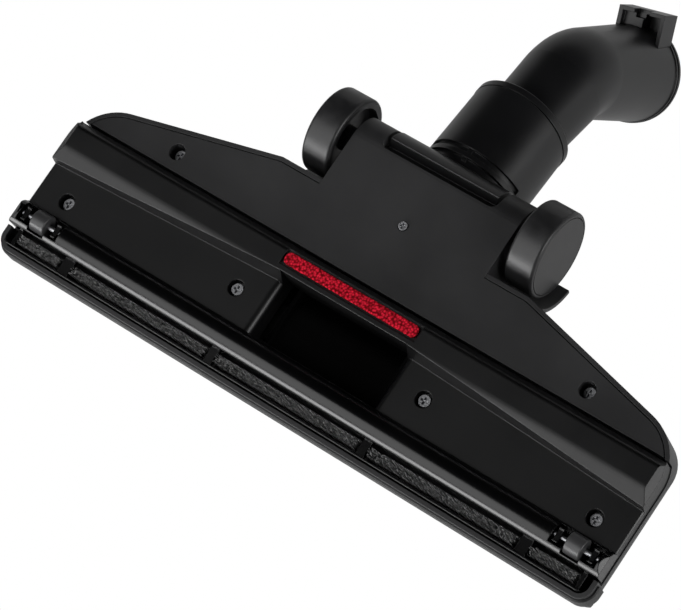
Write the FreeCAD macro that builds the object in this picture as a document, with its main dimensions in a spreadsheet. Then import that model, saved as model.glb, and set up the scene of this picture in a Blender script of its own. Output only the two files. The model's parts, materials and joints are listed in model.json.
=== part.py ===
import FreeCAD, Part
import os
from math import cos, pi, radians, sin, tan
from types import SimpleNamespace

import Sketcher

# Combination floor head of a vacuum cleaner, 281 mm wide, with a swivelling neck for a 35 mm tube.
# Frame: millimetres, +Z up, the floor at Z = 0, the front edge towards -Y, the neck towards +Y.
# X = 0 is the plane of symmetry, and +X is the left hand of the person who pushes it.
# Sizes along Y are measured from the line of the outer sole screws. At the end the whole part is
# shifted along Y, so that the origin lies on the floor under the middle of its length.

Vector = FreeCAD.Vector
ALONG_X = Vector(1, 0, 0)
ALONG_Y = Vector(0, 1, 0)
UP = Vector(0, 0, 1)

doc = FreeCAD.newDocument("FloorHead")
sheet = doc.addObject("Spreadsheet::Sheet", "Sizes")

# Driving dimensions: name, value in millimetres or degrees, what it measures
DIMENSIONS = (
    ("casing_half", 140.6, "half width of the casing"),
    ("casing_front", 28.9, "front wall ahead of the screw line"),
    ("casing_corner_y", 38.9, "where the end wall would meet the slanted rear wall"),
    ("casing_bottom", 6.2, "lower rim of the casing above the floor"),
    ("casing_wall", 1.8, "wall of the casing"),
    ("front_corner", 6.0, "corner radius of the casing, front"),
    ("rear_corner", 22.0, "corner radius of the casing, rear"),
    ("deck_front", 17.5, "height of the casing's front wall"),
    ("deck_mid", 27.0, "height of the deck over the front bay"),
    ("deck_rear", 30.0, "height of the deck at the rear wall"),
    ("shoulder", 16.0, "radius over the ends of the deck"),
    ("bay_half", 58.3, "outer side of the wheel bays"),
    ("bay_wall_y", 58.2, "front wall of the wheel bays"),
    ("neck_half", 39.0, "half width of the rear part between the wheels"),
    ("notch_half", 27.1, "half width of the notch that holds the knuckle"),
    ("notch_front", 80.9, "front edge of the notch in the base plate"),
    ("hood_start", 9.0, "where the hood rises from the deck"),
    ("hood_crest_y", 27.0, "bend of the hood's side outline"),
    ("hood_crest", 45.5, "height of that bend"),
    ("hood_gap", 2.2, "clearance of the hood over the drum"),
    ("hood_round", 5.0, "rounding of the hood's long edges"),
    ("lip_angle", 133.0, "angle of the hood's rear lip about the tilt axis"),
    ("tilt_y", 79.6, "tilt axis behind the screw line"),
    ("tilt_height", 18.2, "tilt axis above the floor"),
    ("sole_gap", 0.35, "gap between the casing wall and the plates below"),
    ("sole_front", 26.6, "front lip of the sole ahead of the screw line"),
    ("sole_rear", 30.2, "rear edge of the sole"),
    ("sole_level", 3.6, "underside of the sole beside the brush slot"),
    ("sole_skin", 2.2, "thickness of the sole over the bays"),
    ("bar_y", 13.7, "front bar ahead of the screw line"),
    ("bar_radius", 6.2, "radius of the half-round front bar"),
    ("bar_lowest", 1.8, "lowest line of the front bar"),
    ("bay_front", 7.3, "front edge of the suction bays ahead of the screw line"),
    ("bay_rear_end", 10.8, "rear wall of a bay at the ceiling, at its open end"),
    ("bay_rear_mouth", 16.3, "rear wall of a bay at the ceiling, at the mouth"),
    ("bay_edge_end", 11.9, "lower edge of that wall at the open end"),
    ("bay_edge_mouth", 18.8, "lower edge of that wall at the mouth"),
    ("bay_end_level", 7.8, "ceiling of a bay at its open end"),
    ("bay_inner_level", 9.2, "ceiling of a bay before it rises to the mouth"),
    ("mouth_half", 29.8, "half width of the suction mouth"),
    ("mouth_front", 7.3, "front edge of the mouth ahead of the screw line"),
    ("mouth_rear", 18.8, "rear edge of the mouth"),
    ("mouth_level", 17.5, "lip of the mouth above the floor"),
    ("mouth_round", 3.0, "rounding of the mouth's ends"),
    ("land_level", 1.0, "lowest ridge of the rear land"),
    ("land_front", 9.8, "front of the slope that leads down to the land"),
    ("land_front_level", 4.4, "height of that slope at its front"),
    ("ridge_y", 17.5, "foot of that slope"),
    ("ridge_round", 7.0, "rounding of the foot of the slope"),
    ("end_front", 18.6, "front of the sole's ends ahead of the screw line"),
    ("end_top", 12.0, "top of the sole's ends"),
    ("end_step", 0.4, "step between the casing's end and the sole's end"),
    ("end_thick", 2.4, "thickness of the sole's ends"),
    ("end_bevel", 3.2, "width of the bevel under the sole's ends"),
    ("end_bevel_rise", 2.6, "height of that bevel"),
    ("slot_front", 25.8, "front of the brush slot ahead of the screw line"),
    ("slot_rear", 18.7, "rear of the brush slot ahead of the screw line"),
    ("slot_centre_half", 34.6, "half length of the middle opening of the brush slot"),
    ("slot_middle_start", 38.4, "inner end of the second opening"),
    ("slot_middle_end", 33.8, "outer end of the second opening, from the casing's end"),
    ("slot_end_start", 28.8, "inner end of the last opening, from the casing's end"),
    ("slot_end_end", 6.8, "outer end of the last opening, from the casing's end"),
    ("slot_open", 5.0, "rib beyond the last opening, its outer side from the casing's end"),
    ("rib_top", 9.4, "top of the ribs that bridge the brush slot"),
    ("rib_bottom", 7.0, "underside of those ribs"),
    ("bristle_play", 1.5, "bristles from the ends of their openings"),
    ("bristle_front", 24.4, "front of the bristles ahead of the screw line"),
    ("bristle_rear", 20.6, "rear of the bristles ahead of the screw line"),
    ("bristle_tip", 4.2, "bristle tips above the floor, brush lifted"),
    ("carrier_bottom", 14.8, "underside of the brush carrier, brush lifted"),
    ("carrier_thick", 3.0, "thickness of the brush carrier"),
    ("brush_travel", 4.1, "travel of the brush"),
    ("strip_half", 31.3, "half length of the lint strip"),
    ("strip_front", 21.6, "front edge of the lint strip"),
    ("strip_rear", 27.0, "rear edge of the lint strip"),
    ("strip_face", 0.3, "face of the lint strip above the floor"),
    ("strip_thick", 1.9, "thickness of the lint strip"),
    ("strip_play", 0.7, "gap round the lint strip in its pocket"),
    ("plate_level", 6.0, "underside of the rear base plate"),
    ("plate_thick", 2.2, "thickness of the rear base plate"),
    ("plate_front", 31.6, "front edge of the rear base plate"),
    ("screw_end", 14.8, "outer sole screws from the casing's end"),
    ("screw_inner", 44.7, "inner sole screws from the middle"),
    ("screw_inner_y", 5.3, "inner sole screws behind the outer ones"),
    ("screw_rear", 43.3, "base plate screws from the casing's end"),
    ("screw_rear_y", 39.0, "base plate screws behind the screw line"),
    ("screw_centre_y", 57.8, "centre screw behind the screw line"),
    ("recess", 6.8, "bore of a screw recess"),
    ("recess_wall", 1.4, "wall round a screw recess"),
    ("recess_top", 15.0, "seat of the screw heads above the floor"),
    ("seat_thick", 2.0, "floor of the recess under a screw head"),
    ("head_diameter", 4.8, "screw head"),
    ("centre_head", 3.6, "head of the screw in the middle"),
    ("head_height", 2.2, "height of a screw head"),
    ("shank", 3.0, "screw shank"),
    ("screw_length", 11.0, "length of a screw under its head"),
    ("centre_screw_length", 2.8, "length of the middle screw under its head"),
    ("cross_width", 0.9, "width of the cross recess in a screw"),
    ("thread_play", 0.05, "clearance of a screw in its pillar"),
    ("pillar", 7.6, "pillar that takes a screw"),
    ("roller_end", 13.4, "front rollers from the casing's end"),
    ("roller_y", 12.7, "front rollers ahead of the screw line"),
    ("roller_radius", 4.5, "radius of a front roller"),
    ("roller_width", 6.9, "width of a front roller"),
    ("roller_pin", 2.0, "pin of a front roller"),
    ("roller_pin_length", 19.4, "length of that pin"),
    ("clip_width", 2.2, "width of a pin clip"),
    ("clip_side", 0.5, "side play of a roller in its room"),
    ("clip_reach", 7.7, "clips from the middle of their roller"),
    ("clip_level", 2.6, "lower edge of the clips' arms above the floor"),
    ("clip_notch", 0.5, "how far the arms stand below the clip"),
    ("clip_inside", 2.2, "inside of a clip's arm from the pin's axis"),
    ("clip_outside", 2.9, "outside of a clip's arm from the pin's axis"),
    ("room_front", 18.1, "front of a roller's own room ahead of the screw line"),
    ("room_rear", 7.9, "rear of that room ahead of the screw line"),
    ("well_front", 16.7, "front of a roller's well ahead of the screw line"),
    ("well_rear", 8.3, "rear of that well ahead of the screw line"),
    ("well_inner", 10.0, "inner end of the well from the roller"),
    ("well_outer", 10.4, "outer end of the well from the roller"),
    ("well_depth", 9.7, "ceiling of the well above the floor"),
    ("run_play", 0.06, "radial running clearance on a pin or axle"),
    ("wheel_radius", 18.2, "radius of a rear wheel, the height of its axle"),
    ("wheel_inner", 42.0, "inner face of a wheel from the middle"),
    ("wheel_width", 12.7, "width of a wheel"),
    ("tread_thick", 1.6, "thickness of the tread"),
    ("tread_round", 1.4, "rounding of the tread"),
    ("rim_wall", 1.8, "wall of the wheel's rim"),
    ("web_thick", 2.4, "web of the wheel"),
    ("boss_radius", 5.4, "boss of the wheel"),
    ("cap_thick", 1.4, "thickness of that disc"),
    ("axle", 5.0, "wheel axle, which also carries the neck"),
    ("axle_inner", 23.6, "inner end of the axle from the middle"),
    ("axle_outer", 52.6, "outer end of the axle from the middle"),
    ("axle_boss", 6.5, "radius of the axle boss in the casing"),
    ("drum_radius", 41.0, "drum of the knuckle about the tilt axis"),
    ("drum_half", 25.4, "half width of the knuckle"),
    ("drum_wall", 2.5, "wall of the drum"),
    ("drum_front_angle", 151.0, "lower edge of the drum about the tilt axis"),
    ("skirt_radius", 12.5, "rounded skirt of the knuckle about the tilt axis"),
    ("hub_radius", 8.5, "hub of the knuckle about the tilt axis"),
    ("barrel_start_y", 79.4, "start of the barrel's axis behind the screw line"),
    ("barrel_start_height", 37.3, "start of the barrel's axis above the floor"),
    ("barrel_angle", 11.24, "slope of the barrel's axis"),
    ("barrel_radius", 22.4, "radius of the barrel at its start"),
    ("barrel_taper", 0.0123, "loss of radius per millimetre of barrel"),
    ("barrel_bore", 19.4, "bore radius of the barrel"),
    ("barrel_length", 43.5, "barrel axis from its start to the collar seam"),
    ("groove_floor", 20.8, "radius at the bottom of the barrel's grooves"),
    ("groove_half_angle", 68.0, "half angle of the grooves round the underside"),
    ("ring_start", 12.4, "rib ring of the barrel, from the barrel's start"),
    ("ring_width", 2.0, "width of the rib ring"),
    ("groove_width", 2.4, "width of the groove behind the rib ring"),
    ("swivel_angle", 19.5, "slope of the swivel axis"),
    ("seam_gap", 0.4, "gap between the barrel and the collar"),
    ("collar_radius", 22.1, "radius of the swivel collar"),
    ("collar_height", 3.8, "height of the collar above the seam"),
    ("collar_chamfer", 0.7, "chamfer of the collar"),
    ("spigot_play", 0.15, "clearance of the spigot in the barrel"),
    ("spigot_depth", 9.0, "depth of the spigot in the barrel"),
    ("spigot_wall", 2.1, "wall of the spigot"),
    ("seal_width", 1.8, "width of the swivel seal"),
    ("seal_depth", 0.9, "depth of the swivel seal's groove"),
    ("pipe_offset", 3.2, "offset of the elbow's axis above the swivel axis"),
    ("pipe_start_radius", 17.4, "outer radius of the elbow at the collar"),
    ("pipe_bend_radius", 18.5, "outer radius of the elbow in its bend"),
    ("pipe_end_radius", 20.6, "outer radius of the elbow at its end"),
    ("pipe_wall", 2.3, "wall of the elbow"),
    ("pipe_first", 29.9, "straight run of the elbow from the seam"),
    ("bend_radius", 20.0, "bend of the elbow's axis"),
    ("bend_angle", 43.7, "angle of the elbow"),
    ("pipe_last", 53.2, "straight run after the bend"),
    ("tube_diameter", 35.0, "wand tube that the socket takes"),
    ("socket_play", 0.1, "radial clearance of the wand tube"),
    ("socket_depth", 38.0, "depth of the socket"),
    ("rim_radius", 21.1, "rim at the end of the elbow"),
    ("rim_width", 1.5, "width of the rim"),
    ("hook_twist", 12.0, "turn of the parking hook round the elbow"),
    ("hook_left", 6.2, "hook from the middle, left side"),
    ("hook_right", 14.6, "hook from the middle, right side"),
    ("hook_height", 27.4, "top of the hook from the elbow's axis"),
    ("hook_length", 13.0, "length of the hook along the elbow"),
    ("hook_back", 2.6, "hook behind the end of the elbow"),
    ("hook_wall", 1.8, "wall of the hook"),
    ("hook_slot", 7.0, "slot in the hook's top plate"),
    ("duct_half", 27.0, "half width of the air duct"),
    ("duct_wall", 1.8, "wall of the air duct"),
    ("duct_seat", 0.2, "gap between the duct and the sole"),
    ("seal_thick", 0.9, "thickness of the lip seal round the drum"),
    ("seal_play", 0.3, "clearance of the lip seal to the drum"),
    ("bumper_thick", 2.0, "thickness of the front bumper"),
    ("bumper_proud", 1.0, "how far the bumper stands out of the casing"),
    ("bumper_bottom", 8.6, "lower edge of the bumper"),
    ("bumper_top", 16.0, "upper edge of the bumper"),
    ("bumper_return", 20.4, "rear end of the bumper ahead of the screw line"),
    ("pedal_half", 34.0, "half width of the foot pedal"),
    ("pedal_front", 27.0, "front edge of the pedal ahead of the screw line"),
    ("pedal_hinge_y", 4.0, "pedal hinge behind the screw line"),
    ("pedal_hinge_height", 30.0, "pedal hinge above the floor"),
    ("pedal_thick", 2.4, "thickness of the pedal"),
    ("pedal_top", 36.0, "top of the pedal above the floor"),
    ("pedal_wall", 1.8, "side and front walls of the pedal"),
    ("pedal_pin", 3.0, "pin of the pedal"),
    ("push_rod", 4.0, "rod between the pedal and the brush"),
    ("fit_gap", 0.3, "gap between neighbours that don't touch"),
)

for row, (name, value, meaning) in enumerate(DIMENSIONS, start=1):
    sheet.set("A%d" % row, name)
    sheet.set("B%d" % row, str(value))
    sheet.set("C%d" % row, meaning)
    sheet.setAlias("B%d" % row, name)
middle_cell = "B%d" % (len(DIMENSIONS) + 1)
sheet.set(middle_cell, "0")
sheet.setAlias(middle_cell, "middle_y")
doc.recompute()
mm = SimpleNamespace(**{name: float(sheet.get(name)) for name, value, meaning in DIMENSIONS})

# Every finished sub-part is kept here, in the order in which it is made
sub_parts = []


# Drawing helpers

def finish(thing, label, y="0", z="0"):
    """Takes a finished object in as a sub-part under its name, at a place in the side view."""
    thing.Label = label
    thing.setExpression("Placement.Base.y", y + " - Sizes.middle_y")
    thing.setExpression("Placement.Base.z", z)
    sub_parts.append(thing)
    return thing


def feature(label, shape):
    """A sub-part whose shape comes from plain solids."""
    thing = doc.addObject("Part::Feature", label)
    thing.Shape = shape
    thing.Placement = FreeCAD.Placement()
    return finish(thing, label)


def new_body(label):
    """An empty body with its own origin planes."""
    body = doc.addObject("PartDesign::Body", label)
    body.Label = label
    return body


def sketch(body, name, role, lift="0"):
    """An empty sketch on one of the body's origin planes, lifted along the plane's normal."""
    drawing = body.newObject("Sketcher::SketchObject", name)
    plane = [item for item in body.Origin.OriginFeatures if item.Role == role][0]
    drawing.AttachmentSupport = (plane, [""])
    drawing.MapMode = "FlatFace"
    drawing.setExpression("AttachmentOffset.Base.z", lift)
    return drawing


def outline(body, name, role, corners, lift="0"):
    """A closed polygon: both coordinates of every corner are expressions on the sheet."""
    drawing = sketch(body, name, role, lift)
    count = len(corners)
    ring = [Vector(cos(2 * pi * k / count), sin(2 * pi * k / count), 0) for k in range(count)]
    for k in range(count):
        drawing.addGeometry(Part.LineSegment(ring[k], ring[(k + 1) % count]))
    for k in range(count):
        drawing.addConstraint(Sketcher.Constraint("Coincident", k, 2, (k + 1) % count, 1))
    for k, (across, up) in enumerate(corners):
        for kind, expression, first in (("DistanceX", across, ring[k].x), ("DistanceY", up, ring[k].y)):
            index = drawing.addConstraint(Sketcher.Constraint(kind, -1, 1, k, 1, first))
            drawing.setExpression("Constraints[%d]" % index, expression)
    return drawing


def circles(body, name, role, rounds, lift="0"):
    """Circles, each given by two centre coordinates and a radius as expressions."""
    drawing = sketch(body, name, role, lift)
    for k, (across, up, radius) in enumerate(rounds):
        drawing.addGeometry(Part.Circle(Vector(k, k, 0), UP, 1.0))
        for kind, expression in (("DistanceX", across), ("DistanceY", up)):
            index = drawing.addConstraint(Sketcher.Constraint(kind, -1, 1, k, 3, 1.0))
            drawing.setExpression("Constraints[%d]" % index, expression)
        index = drawing.addConstraint(Sketcher.Constraint("Radius", k, 1.0))
        drawing.setExpression("Constraints[%d]" % index, radius)
    return drawing


def pad(body, drawing, length, middle=False, back=False):
    """Adds the drawing's solid to the body."""
    step = body.newObject("PartDesign::Pad", drawing.Name + "Pad")
    step.Profile = drawing
    step.setExpression("Length", length)
    step.Midplane = middle
    step.Reversed = back
    body.Tip = step
    return step


def pocket(body, drawing, length, middle=False, back=False):
    """Cuts the drawing's solid out of the body, and checks that it did cut."""
    doc.recompute()
    before = body.Shape.Volume
    step = body.newObject("PartDesign::Pocket", drawing.Name + "Pocket")
    step.Profile = drawing
    step.setExpression("Length", length)
    step.Midplane = middle
    step.Reversed = back
    body.Tip = step
    doc.recompute()
    if body.Shape.Volume > before - 1e-6:
        raise RuntimeError("nothing was cut by " + drawing.Name)
    return step


def revolve(body, drawing, axis):
    """Turns the drawing once round the sketch's own axis."""
    step = body.newObject("PartDesign::Revolution", drawing.Name + "Turn")
    step.Profile = drawing
    step.ReferenceAxis = (drawing, [axis])
    step.Angle = 360
    body.Tip = step
    return step


def soften(body, radius, chosen):
    """Rounds the edges of the body that the rule chooses."""
    doc.recompute()
    names = ["Edge%d" % (k + 1) for k, edge in enumerate(body.Shape.Edges) if chosen(edge)]
    if not names:
        raise RuntimeError("no edge to round on " + body.Label)
    base = body.Tip
    step = body.newObject("PartDesign::Fillet", body.Name + "Fillet")
    step.Base = (base, names)
    step.setExpression("Radius", radius)
    body.Tip = step
    doc.recompute()
    return step


def place(thing, x="0", y="0", z="0"):
    """Puts a whole object at a point, each coordinate an expression."""
    for axis, expression in zip("xyz", (x, y, z)):
        thing.setExpression("Placement.Base." + axis, expression)
    return thing


def at(name):
    """The sheet's cell of that name, for use in an expression."""
    return "Sizes." + name


def from_end(name):
    """A place across the width that the sheet gives from the casing's end."""
    return "(Sizes.casing_half - Sizes." + name + ")"


# Solids in the side view, the front view and the plan

def rounded_wire(corners):
    """A closed wire through (point, radius) corners, its round corners tangent arcs."""
    starts, pieces = [], []
    count = len(corners)
    for k, (corner, radius) in enumerate(corners):
        if radius <= 0:
            starts.append((corner, None, corner))
            continue
        back = (corners[k - 1][0] - corner).normalize()
        ahead = (corners[(k + 1) % count][0] - corner).normalize()
        half = back.getAngle(ahead) / 2
        bisector = (back + ahead).normalize()
        centre = corner + bisector * (radius / sin(half))
        reach = radius / tan(half)
        starts.append((corner + back * reach, centre - bisector * radius, corner + ahead * reach))
    for k, (first, middle, last) in enumerate(starts):
        if middle is not None:
            pieces.append(Part.Arc(first, middle, last).toShape())
        following = starts[(k + 1) % count][0]
        if last.distanceToPoint(following) > 1e-7:
            pieces.append(Part.makeLine(last, following))
    return Part.Wire(pieces)


def prism(wire, along, shift=Vector(0, 0, 0)):
    """The solid that a flat wire sweeps along a vector."""
    face = Part.Face(wire)
    face.translate(shift)
    return face.extrude(along)


def side_prism(wire, half):
    """A side view (X = 0) made a solid, as wide to the left as to the right."""
    return prism(wire, ALONG_X * (2 * half), ALONG_X * -half)


def side_band(wire, near, far):
    """A side view made a solid between two distances from the middle, on both sides."""
    left = prism(wire, ALONG_X * (far - near), ALONG_X * near)
    return left.fuse(left.mirror(Vector(0, 0, 0), ALONG_X))


def side(y, z):
    """A point of the side view."""
    return Vector(0, y, z)


def about_tilt(radius, angle):
    """A point of the side view by its distance and angle from the tilt axis."""
    return side(mm.tilt_y + radius * cos(radians(angle)), mm.tilt_height + radius * sin(radians(angle)))


def rod(radius, start, along):
    """A round bar from a point along a vector."""
    return Part.makeCylinder(radius, along.Length, start, along)


def tilt_rod(radius, near, far):
    """A round bar on the tilt axis between two places across the width."""
    return rod(radius, Vector(near, mm.tilt_y, mm.tilt_height), ALONG_X * (far - near))


def inset_wire(wire, inset):
    """The wire drawn in by the inset, or out where it is negative, its corners kept."""
    return wire if inset == 0 else Part.Face(wire).makeOffset2D(-inset, join=2).OuterWire


# Casing outline in three views: plan, side and front

TOP = 70.0
DEEP = 20.0
nose_radius = mm.tilt_height - mm.plate_level


def casing_plan(inset, bottom, top):
    """The upright solid of the casing's plan."""
    wire = rounded_wire([
        (Vector(mm.casing_half, -mm.casing_front, bottom), mm.front_corner),
        (Vector(mm.casing_half, mm.casing_corner_y, bottom), mm.rear_corner),
        (Vector(mm.bay_half, mm.bay_wall_y, bottom), 0),
        (Vector(-mm.bay_half, mm.bay_wall_y, bottom), 0),
        (Vector(-mm.casing_half, mm.casing_corner_y, bottom), mm.rear_corner),
        (Vector(-mm.casing_half, -mm.casing_front, bottom), mm.front_corner),
    ])
    return prism(inset_wire(wire, inset), UP * (top - bottom))


def casing_deck(inset, bottom):
    """The wide part of the casing: plan, side view and front view in common."""
    side_wire = rounded_wire([
        (side(-mm.casing_front, bottom), 0),
        (side(-mm.casing_front, mm.deck_front + 5.5), 8.0),
        (side(0, mm.deck_mid), 60.0),
        (side(mm.bay_wall_y, mm.deck_rear), 5.0),
        (side(mm.bay_wall_y, bottom), 0),
    ])
    front_wire = rounded_wire([
        (Vector(mm.casing_half, 0, bottom), 0),
        (Vector(mm.casing_half, 0, mm.deck_rear), mm.shoulder),
        (Vector(-mm.casing_half, 0, mm.deck_rear), mm.shoulder),
        (Vector(-mm.casing_half, 0, bottom), 0),
    ])
    long_way = prism(inset_wire(side_wire, inset), ALONG_X * 400, ALONG_X * -200)
    front_way = prism(inset_wire(front_wire, inset), ALONG_Y * 400, ALONG_Y * -200)
    return casing_plan(inset, bottom, TOP).common(long_way).common(front_way)


def casing_hood(inset, bottom):
    """The hood over the duct and the two cheeks beside the knuckle."""
    lip = about_tilt(mm.drum_radius + mm.hood_gap + mm.casing_wall, mm.lip_angle)
    cheek = about_tilt(nose_radius, 40)
    rear = about_tilt(nose_radius, 0)
    foot = side(mm.hood_start, mm.deck_mid - 3)
    brow = side(mm.hood_start + 2, mm.deck_mid + 3)
    edges = [
        Part.makeLine(side(mm.hood_start, bottom), foot),
        Part.makeLine(foot, brow),
        Part.Arc(brow, side(mm.hood_crest_y, mm.hood_crest), lip).toShape(),
        Part.makeLine(lip, cheek),
        Part.Arc(cheek, about_tilt(nose_radius, 20), rear).toShape(),
        Part.makeLine(rear, side(rear.y, bottom)),
        Part.makeLine(side(rear.y, bottom), side(mm.hood_start, bottom)),
    ]
    solid = side_prism(inset_wire(Part.Wire(edges), inset), mm.neck_half - inset)
    limit = mm.neck_half - inset - 0.01
    low = mm.deck_mid + 2
    long_edges = [edge for edge in solid.Edges
                  if abs(edge.CenterOfMass.x) > limit and edge.CenterOfMass.z > low]
    return solid.makeFillet(mm.hood_round - inset / 2, long_edges)


def casing_form(inset, bottom):
    """The whole casing as a filled form, or its inside when drawn in by the wall."""
    return casing_deck(inset, bottom).fuse(casing_hood(inset, bottom))


screw_end_x = mm.casing_half - mm.screw_end
screw_rear_x = mm.casing_half - mm.screw_rear
SCREWS = {
    "sole": ((screw_end_x, 0.0), (-screw_end_x, 0.0),
             (mm.screw_inner, mm.screw_inner_y), (-mm.screw_inner, mm.screw_inner_y)),
    "rear": ((screw_rear_x, mm.screw_rear_y), (-screw_rear_x, mm.screw_rear_y)),
}
screw_seat = mm.recess_top - mm.seat_thick
plate_top = mm.plate_level + mm.plate_thick
rod_y = -(mm.slot_front + mm.slot_rear) / 2
ear_x = mm.pedal_half - 7
ear_width = 2.6
bar_gap = 0.02
bar_thick = 2.5


def pedal_step(inset):
    """The wedge-shaped step of the deck that the pedal covers, its top parallel to the pressed pedal."""
    slope = tan(mm.brush_travel / (mm.pedal_hinge_y - rod_y))
    high = mm.pedal_top - mm.pedal_thick - 2 * mm.fit_gap
    rear, front = mm.pedal_hinge_y - 6, -mm.pedal_front + 2.5
    wire = rounded_wire([
        (side(front, mm.deck_front), 0),
        (side(rear, mm.deck_front), 0),
        (side(rear, high - slope * (mm.pedal_hinge_y - rear)), 0),
        (side(front, high - slope * (mm.pedal_hinge_y - front)), 0),
    ])
    return side_prism(inset_wire(wire, inset), mm.pedal_half - mm.pedal_wall - mm.fit_gap - inset)


def pedal_ear(way):
    """An ear of the deck that holds the pedal's pin."""
    reach = mm.pedal_pin / 2 + 1.4
    corner = Vector(way * ear_x - ear_width / 2, mm.pedal_hinge_y - reach, mm.deck_mid - mm.casing_wall)
    ear = Part.makeBox(ear_width, 2 * reach, mm.pedal_hinge_height - corner.z, corner)
    start = Vector(way * ear_x - ear_width / 2, mm.pedal_hinge_y, mm.pedal_hinge_height)
    return ear.fuse(rod(reach, start, ALONG_X * ear_width))


def make_top_housing():
    """Upper casing: thin shell, well for the knuckle, screw pillars, axle bosses and wheel arches."""
    outer = casing_form(0, mm.casing_bottom)
    shell = outer.cut(casing_form(mm.casing_wall, mm.casing_bottom - DEEP))
    tail_start = mm.bay_wall_y - mm.casing_wall - mm.sole_gap - 1
    well_wire = rounded_wire([
        (side(mm.tilt_y - mm.drum_radius - 1, plate_top + bar_gap), 0),
        (about_tilt(mm.drum_radius + 1, mm.lip_angle), 0),
        (side(mm.tilt_y + nose_radius, TOP), 0),
        (about_tilt(nose_radius, 0), 0),
        (side(tail_start - mm.fit_gap, mm.tilt_height), 0),
        (side(tail_start - mm.fit_gap, plate_top + bar_gap), 0),
    ])
    well_walls = side_band(well_wire, mm.notch_half, mm.notch_half + mm.casing_wall)
    shell = shell.fuse(well_walls.common(outer))
    roof = casing_form(mm.casing_wall / 2, mm.casing_bottom - DEEP)
    for x, y in SCREWS["sole"] + SCREWS["rear"]:
        column = rod(mm.pillar / 2, Vector(x, y, mm.recess_top), UP * DEEP * 2)
        shell = shell.fuse(column.common(roof))
    for x, y in SCREWS["sole"] + SCREWS["rear"]:
        bore = rod(mm.shank / 2 + mm.thread_play, Vector(x, y, screw_seat), UP * (mm.screw_length + 1))
        shell = shell.cut(bore)
    below = Part.makeBox(2 * mm.neck_half, TOP, mm.tilt_height,
                         Vector(-mm.neck_half, tail_start - mm.fit_gap, 0))
    shell = shell.cut(below)
    for way in (1, -1):
        shell = shell.fuse(tilt_rod(mm.axle_boss, way * mm.notch_half, way * mm.neck_half))
    arch_outer = mm.wheel_radius + mm.hood_gap + mm.casing_wall
    arch_wire = rounded_wire([
        (about_tilt(arch_outer * 2, 172), 0),
        (about_tilt(arch_outer * 2, 105), 0),
        (about_tilt(2, 105), 0),
        (about_tilt(2, 172), 0),
    ])
    arch = side_band(arch_wire, mm.neck_half - 0.5, mm.bay_half)
    arch = arch.common(tilt_rod(arch_outer, -TOP, TOP))
    arch = arch.cut(tilt_rod(arch_outer - mm.casing_wall, -TOP, TOP))
    shell = shell.fuse(arch)
    room = tilt_rod(mm.drum_radius + mm.hood_gap, -mm.notch_half, mm.notch_half)
    shell = shell.cut(room)
    lip_wire = rounded_wire([
        (about_tilt(1, mm.lip_angle), 0),
        (about_tilt(TOP, mm.lip_angle), 0),
        (side(mm.tilt_y + TOP, TOP + DEEP), 0),
        (side(mm.tilt_y + TOP, 0), 0),
        (side(mm.tilt_y, 0), 0),
    ])
    shell = shell.cut(side_prism(lip_wire, mm.notch_half))
    shell = shell.cut(tilt_rod(mm.axle / 2, -TOP, TOP))
    inside = casing_form(mm.casing_wall, mm.casing_bottom - DEEP)
    shell = shell.fuse(pedal_step(0).cut(inside)).cut(pedal_step(mm.casing_wall))
    rod_hole = mm.push_rod / 2 + mm.fit_gap
    shell = shell.cut(rod(rod_hole, Vector(0, rod_y, mm.deck_front - DEEP / 2), UP * 2 * DEEP))
    bar_start = tail_start - mm.fit_gap - 5
    bar_half = mm.notch_half - mm.fit_gap
    foot = plate_top + bar_gap
    shell = shell.fuse(Part.makeBox(2 * bar_half, mm.screw_centre_y + 4 - bar_start, bar_thick,
                                    Vector(-bar_half, bar_start, foot)))
    shell = shell.fuse(Part.makeBox(2 * mm.notch_half + 1, 5, bar_thick,
                                    Vector(-mm.notch_half - 0.5, bar_start, foot)))
    shell = shell.cut(rod(mm.shank / 2 + mm.thread_play, Vector(0, mm.screw_centre_y, 0), UP * DEEP))
    groove_ring = casing_plan(0, mm.bumper_bottom, mm.bumper_top)
    groove_ring = groove_ring.cut(casing_plan(mm.bumper_thick - mm.bumper_proud, 0, TOP))
    front_zone = Part.makeBox(400, 100, 60, Vector(-200, -mm.bumper_return - 100, 0))
    shell = shell.cut(groove_ring.common(front_zone))
    side_play = 0.9
    end_x = mm.casing_half - mm.casing_wall - mm.end_thick
    end_room = Part.makeBox(DEEP, mm.end_front + mm.sole_rear + 2 * side_play, mm.end_top + mm.fit_gap,
                            Vector(end_x, -mm.end_front - side_play, 0))
    shell = shell.cut([end_room, end_room.mirror(Vector(0, 0, 0), ALONG_X)])
    for way in (1, -1):
        shell = shell.fuse(pedal_ear(way))
    hinge = Vector(-TOP, mm.pedal_hinge_y, mm.pedal_hinge_height)
    shell = shell.cut(rod(mm.pedal_pin / 2, hinge, ALONG_X * 2 * TOP))
    return feature("top_housing", shell.removeSplitter())


def make_front_bumper():
    """Soft strip round the front of the casing, in a groove of the wall."""
    band = casing_plan(-mm.bumper_proud, mm.bumper_bottom, mm.bumper_top)
    band = band.cut(casing_plan(mm.bumper_thick - mm.bumper_proud, 0, TOP))
    zone = Part.makeBox(400, 100, 60, Vector(-200, -mm.bumper_return - 100, 0))
    band = band.common(zone)
    foremost = -mm.casing_front - mm.bumper_proud + 0.01
    outer = [edge for edge in band.Edges
             if edge.BoundBox.ZLength < 0.01 and edge.BoundBox.YMin < foremost]
    return feature("front_bumper", band.makeFillet(0.8, outer))


# Sole plate

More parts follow.
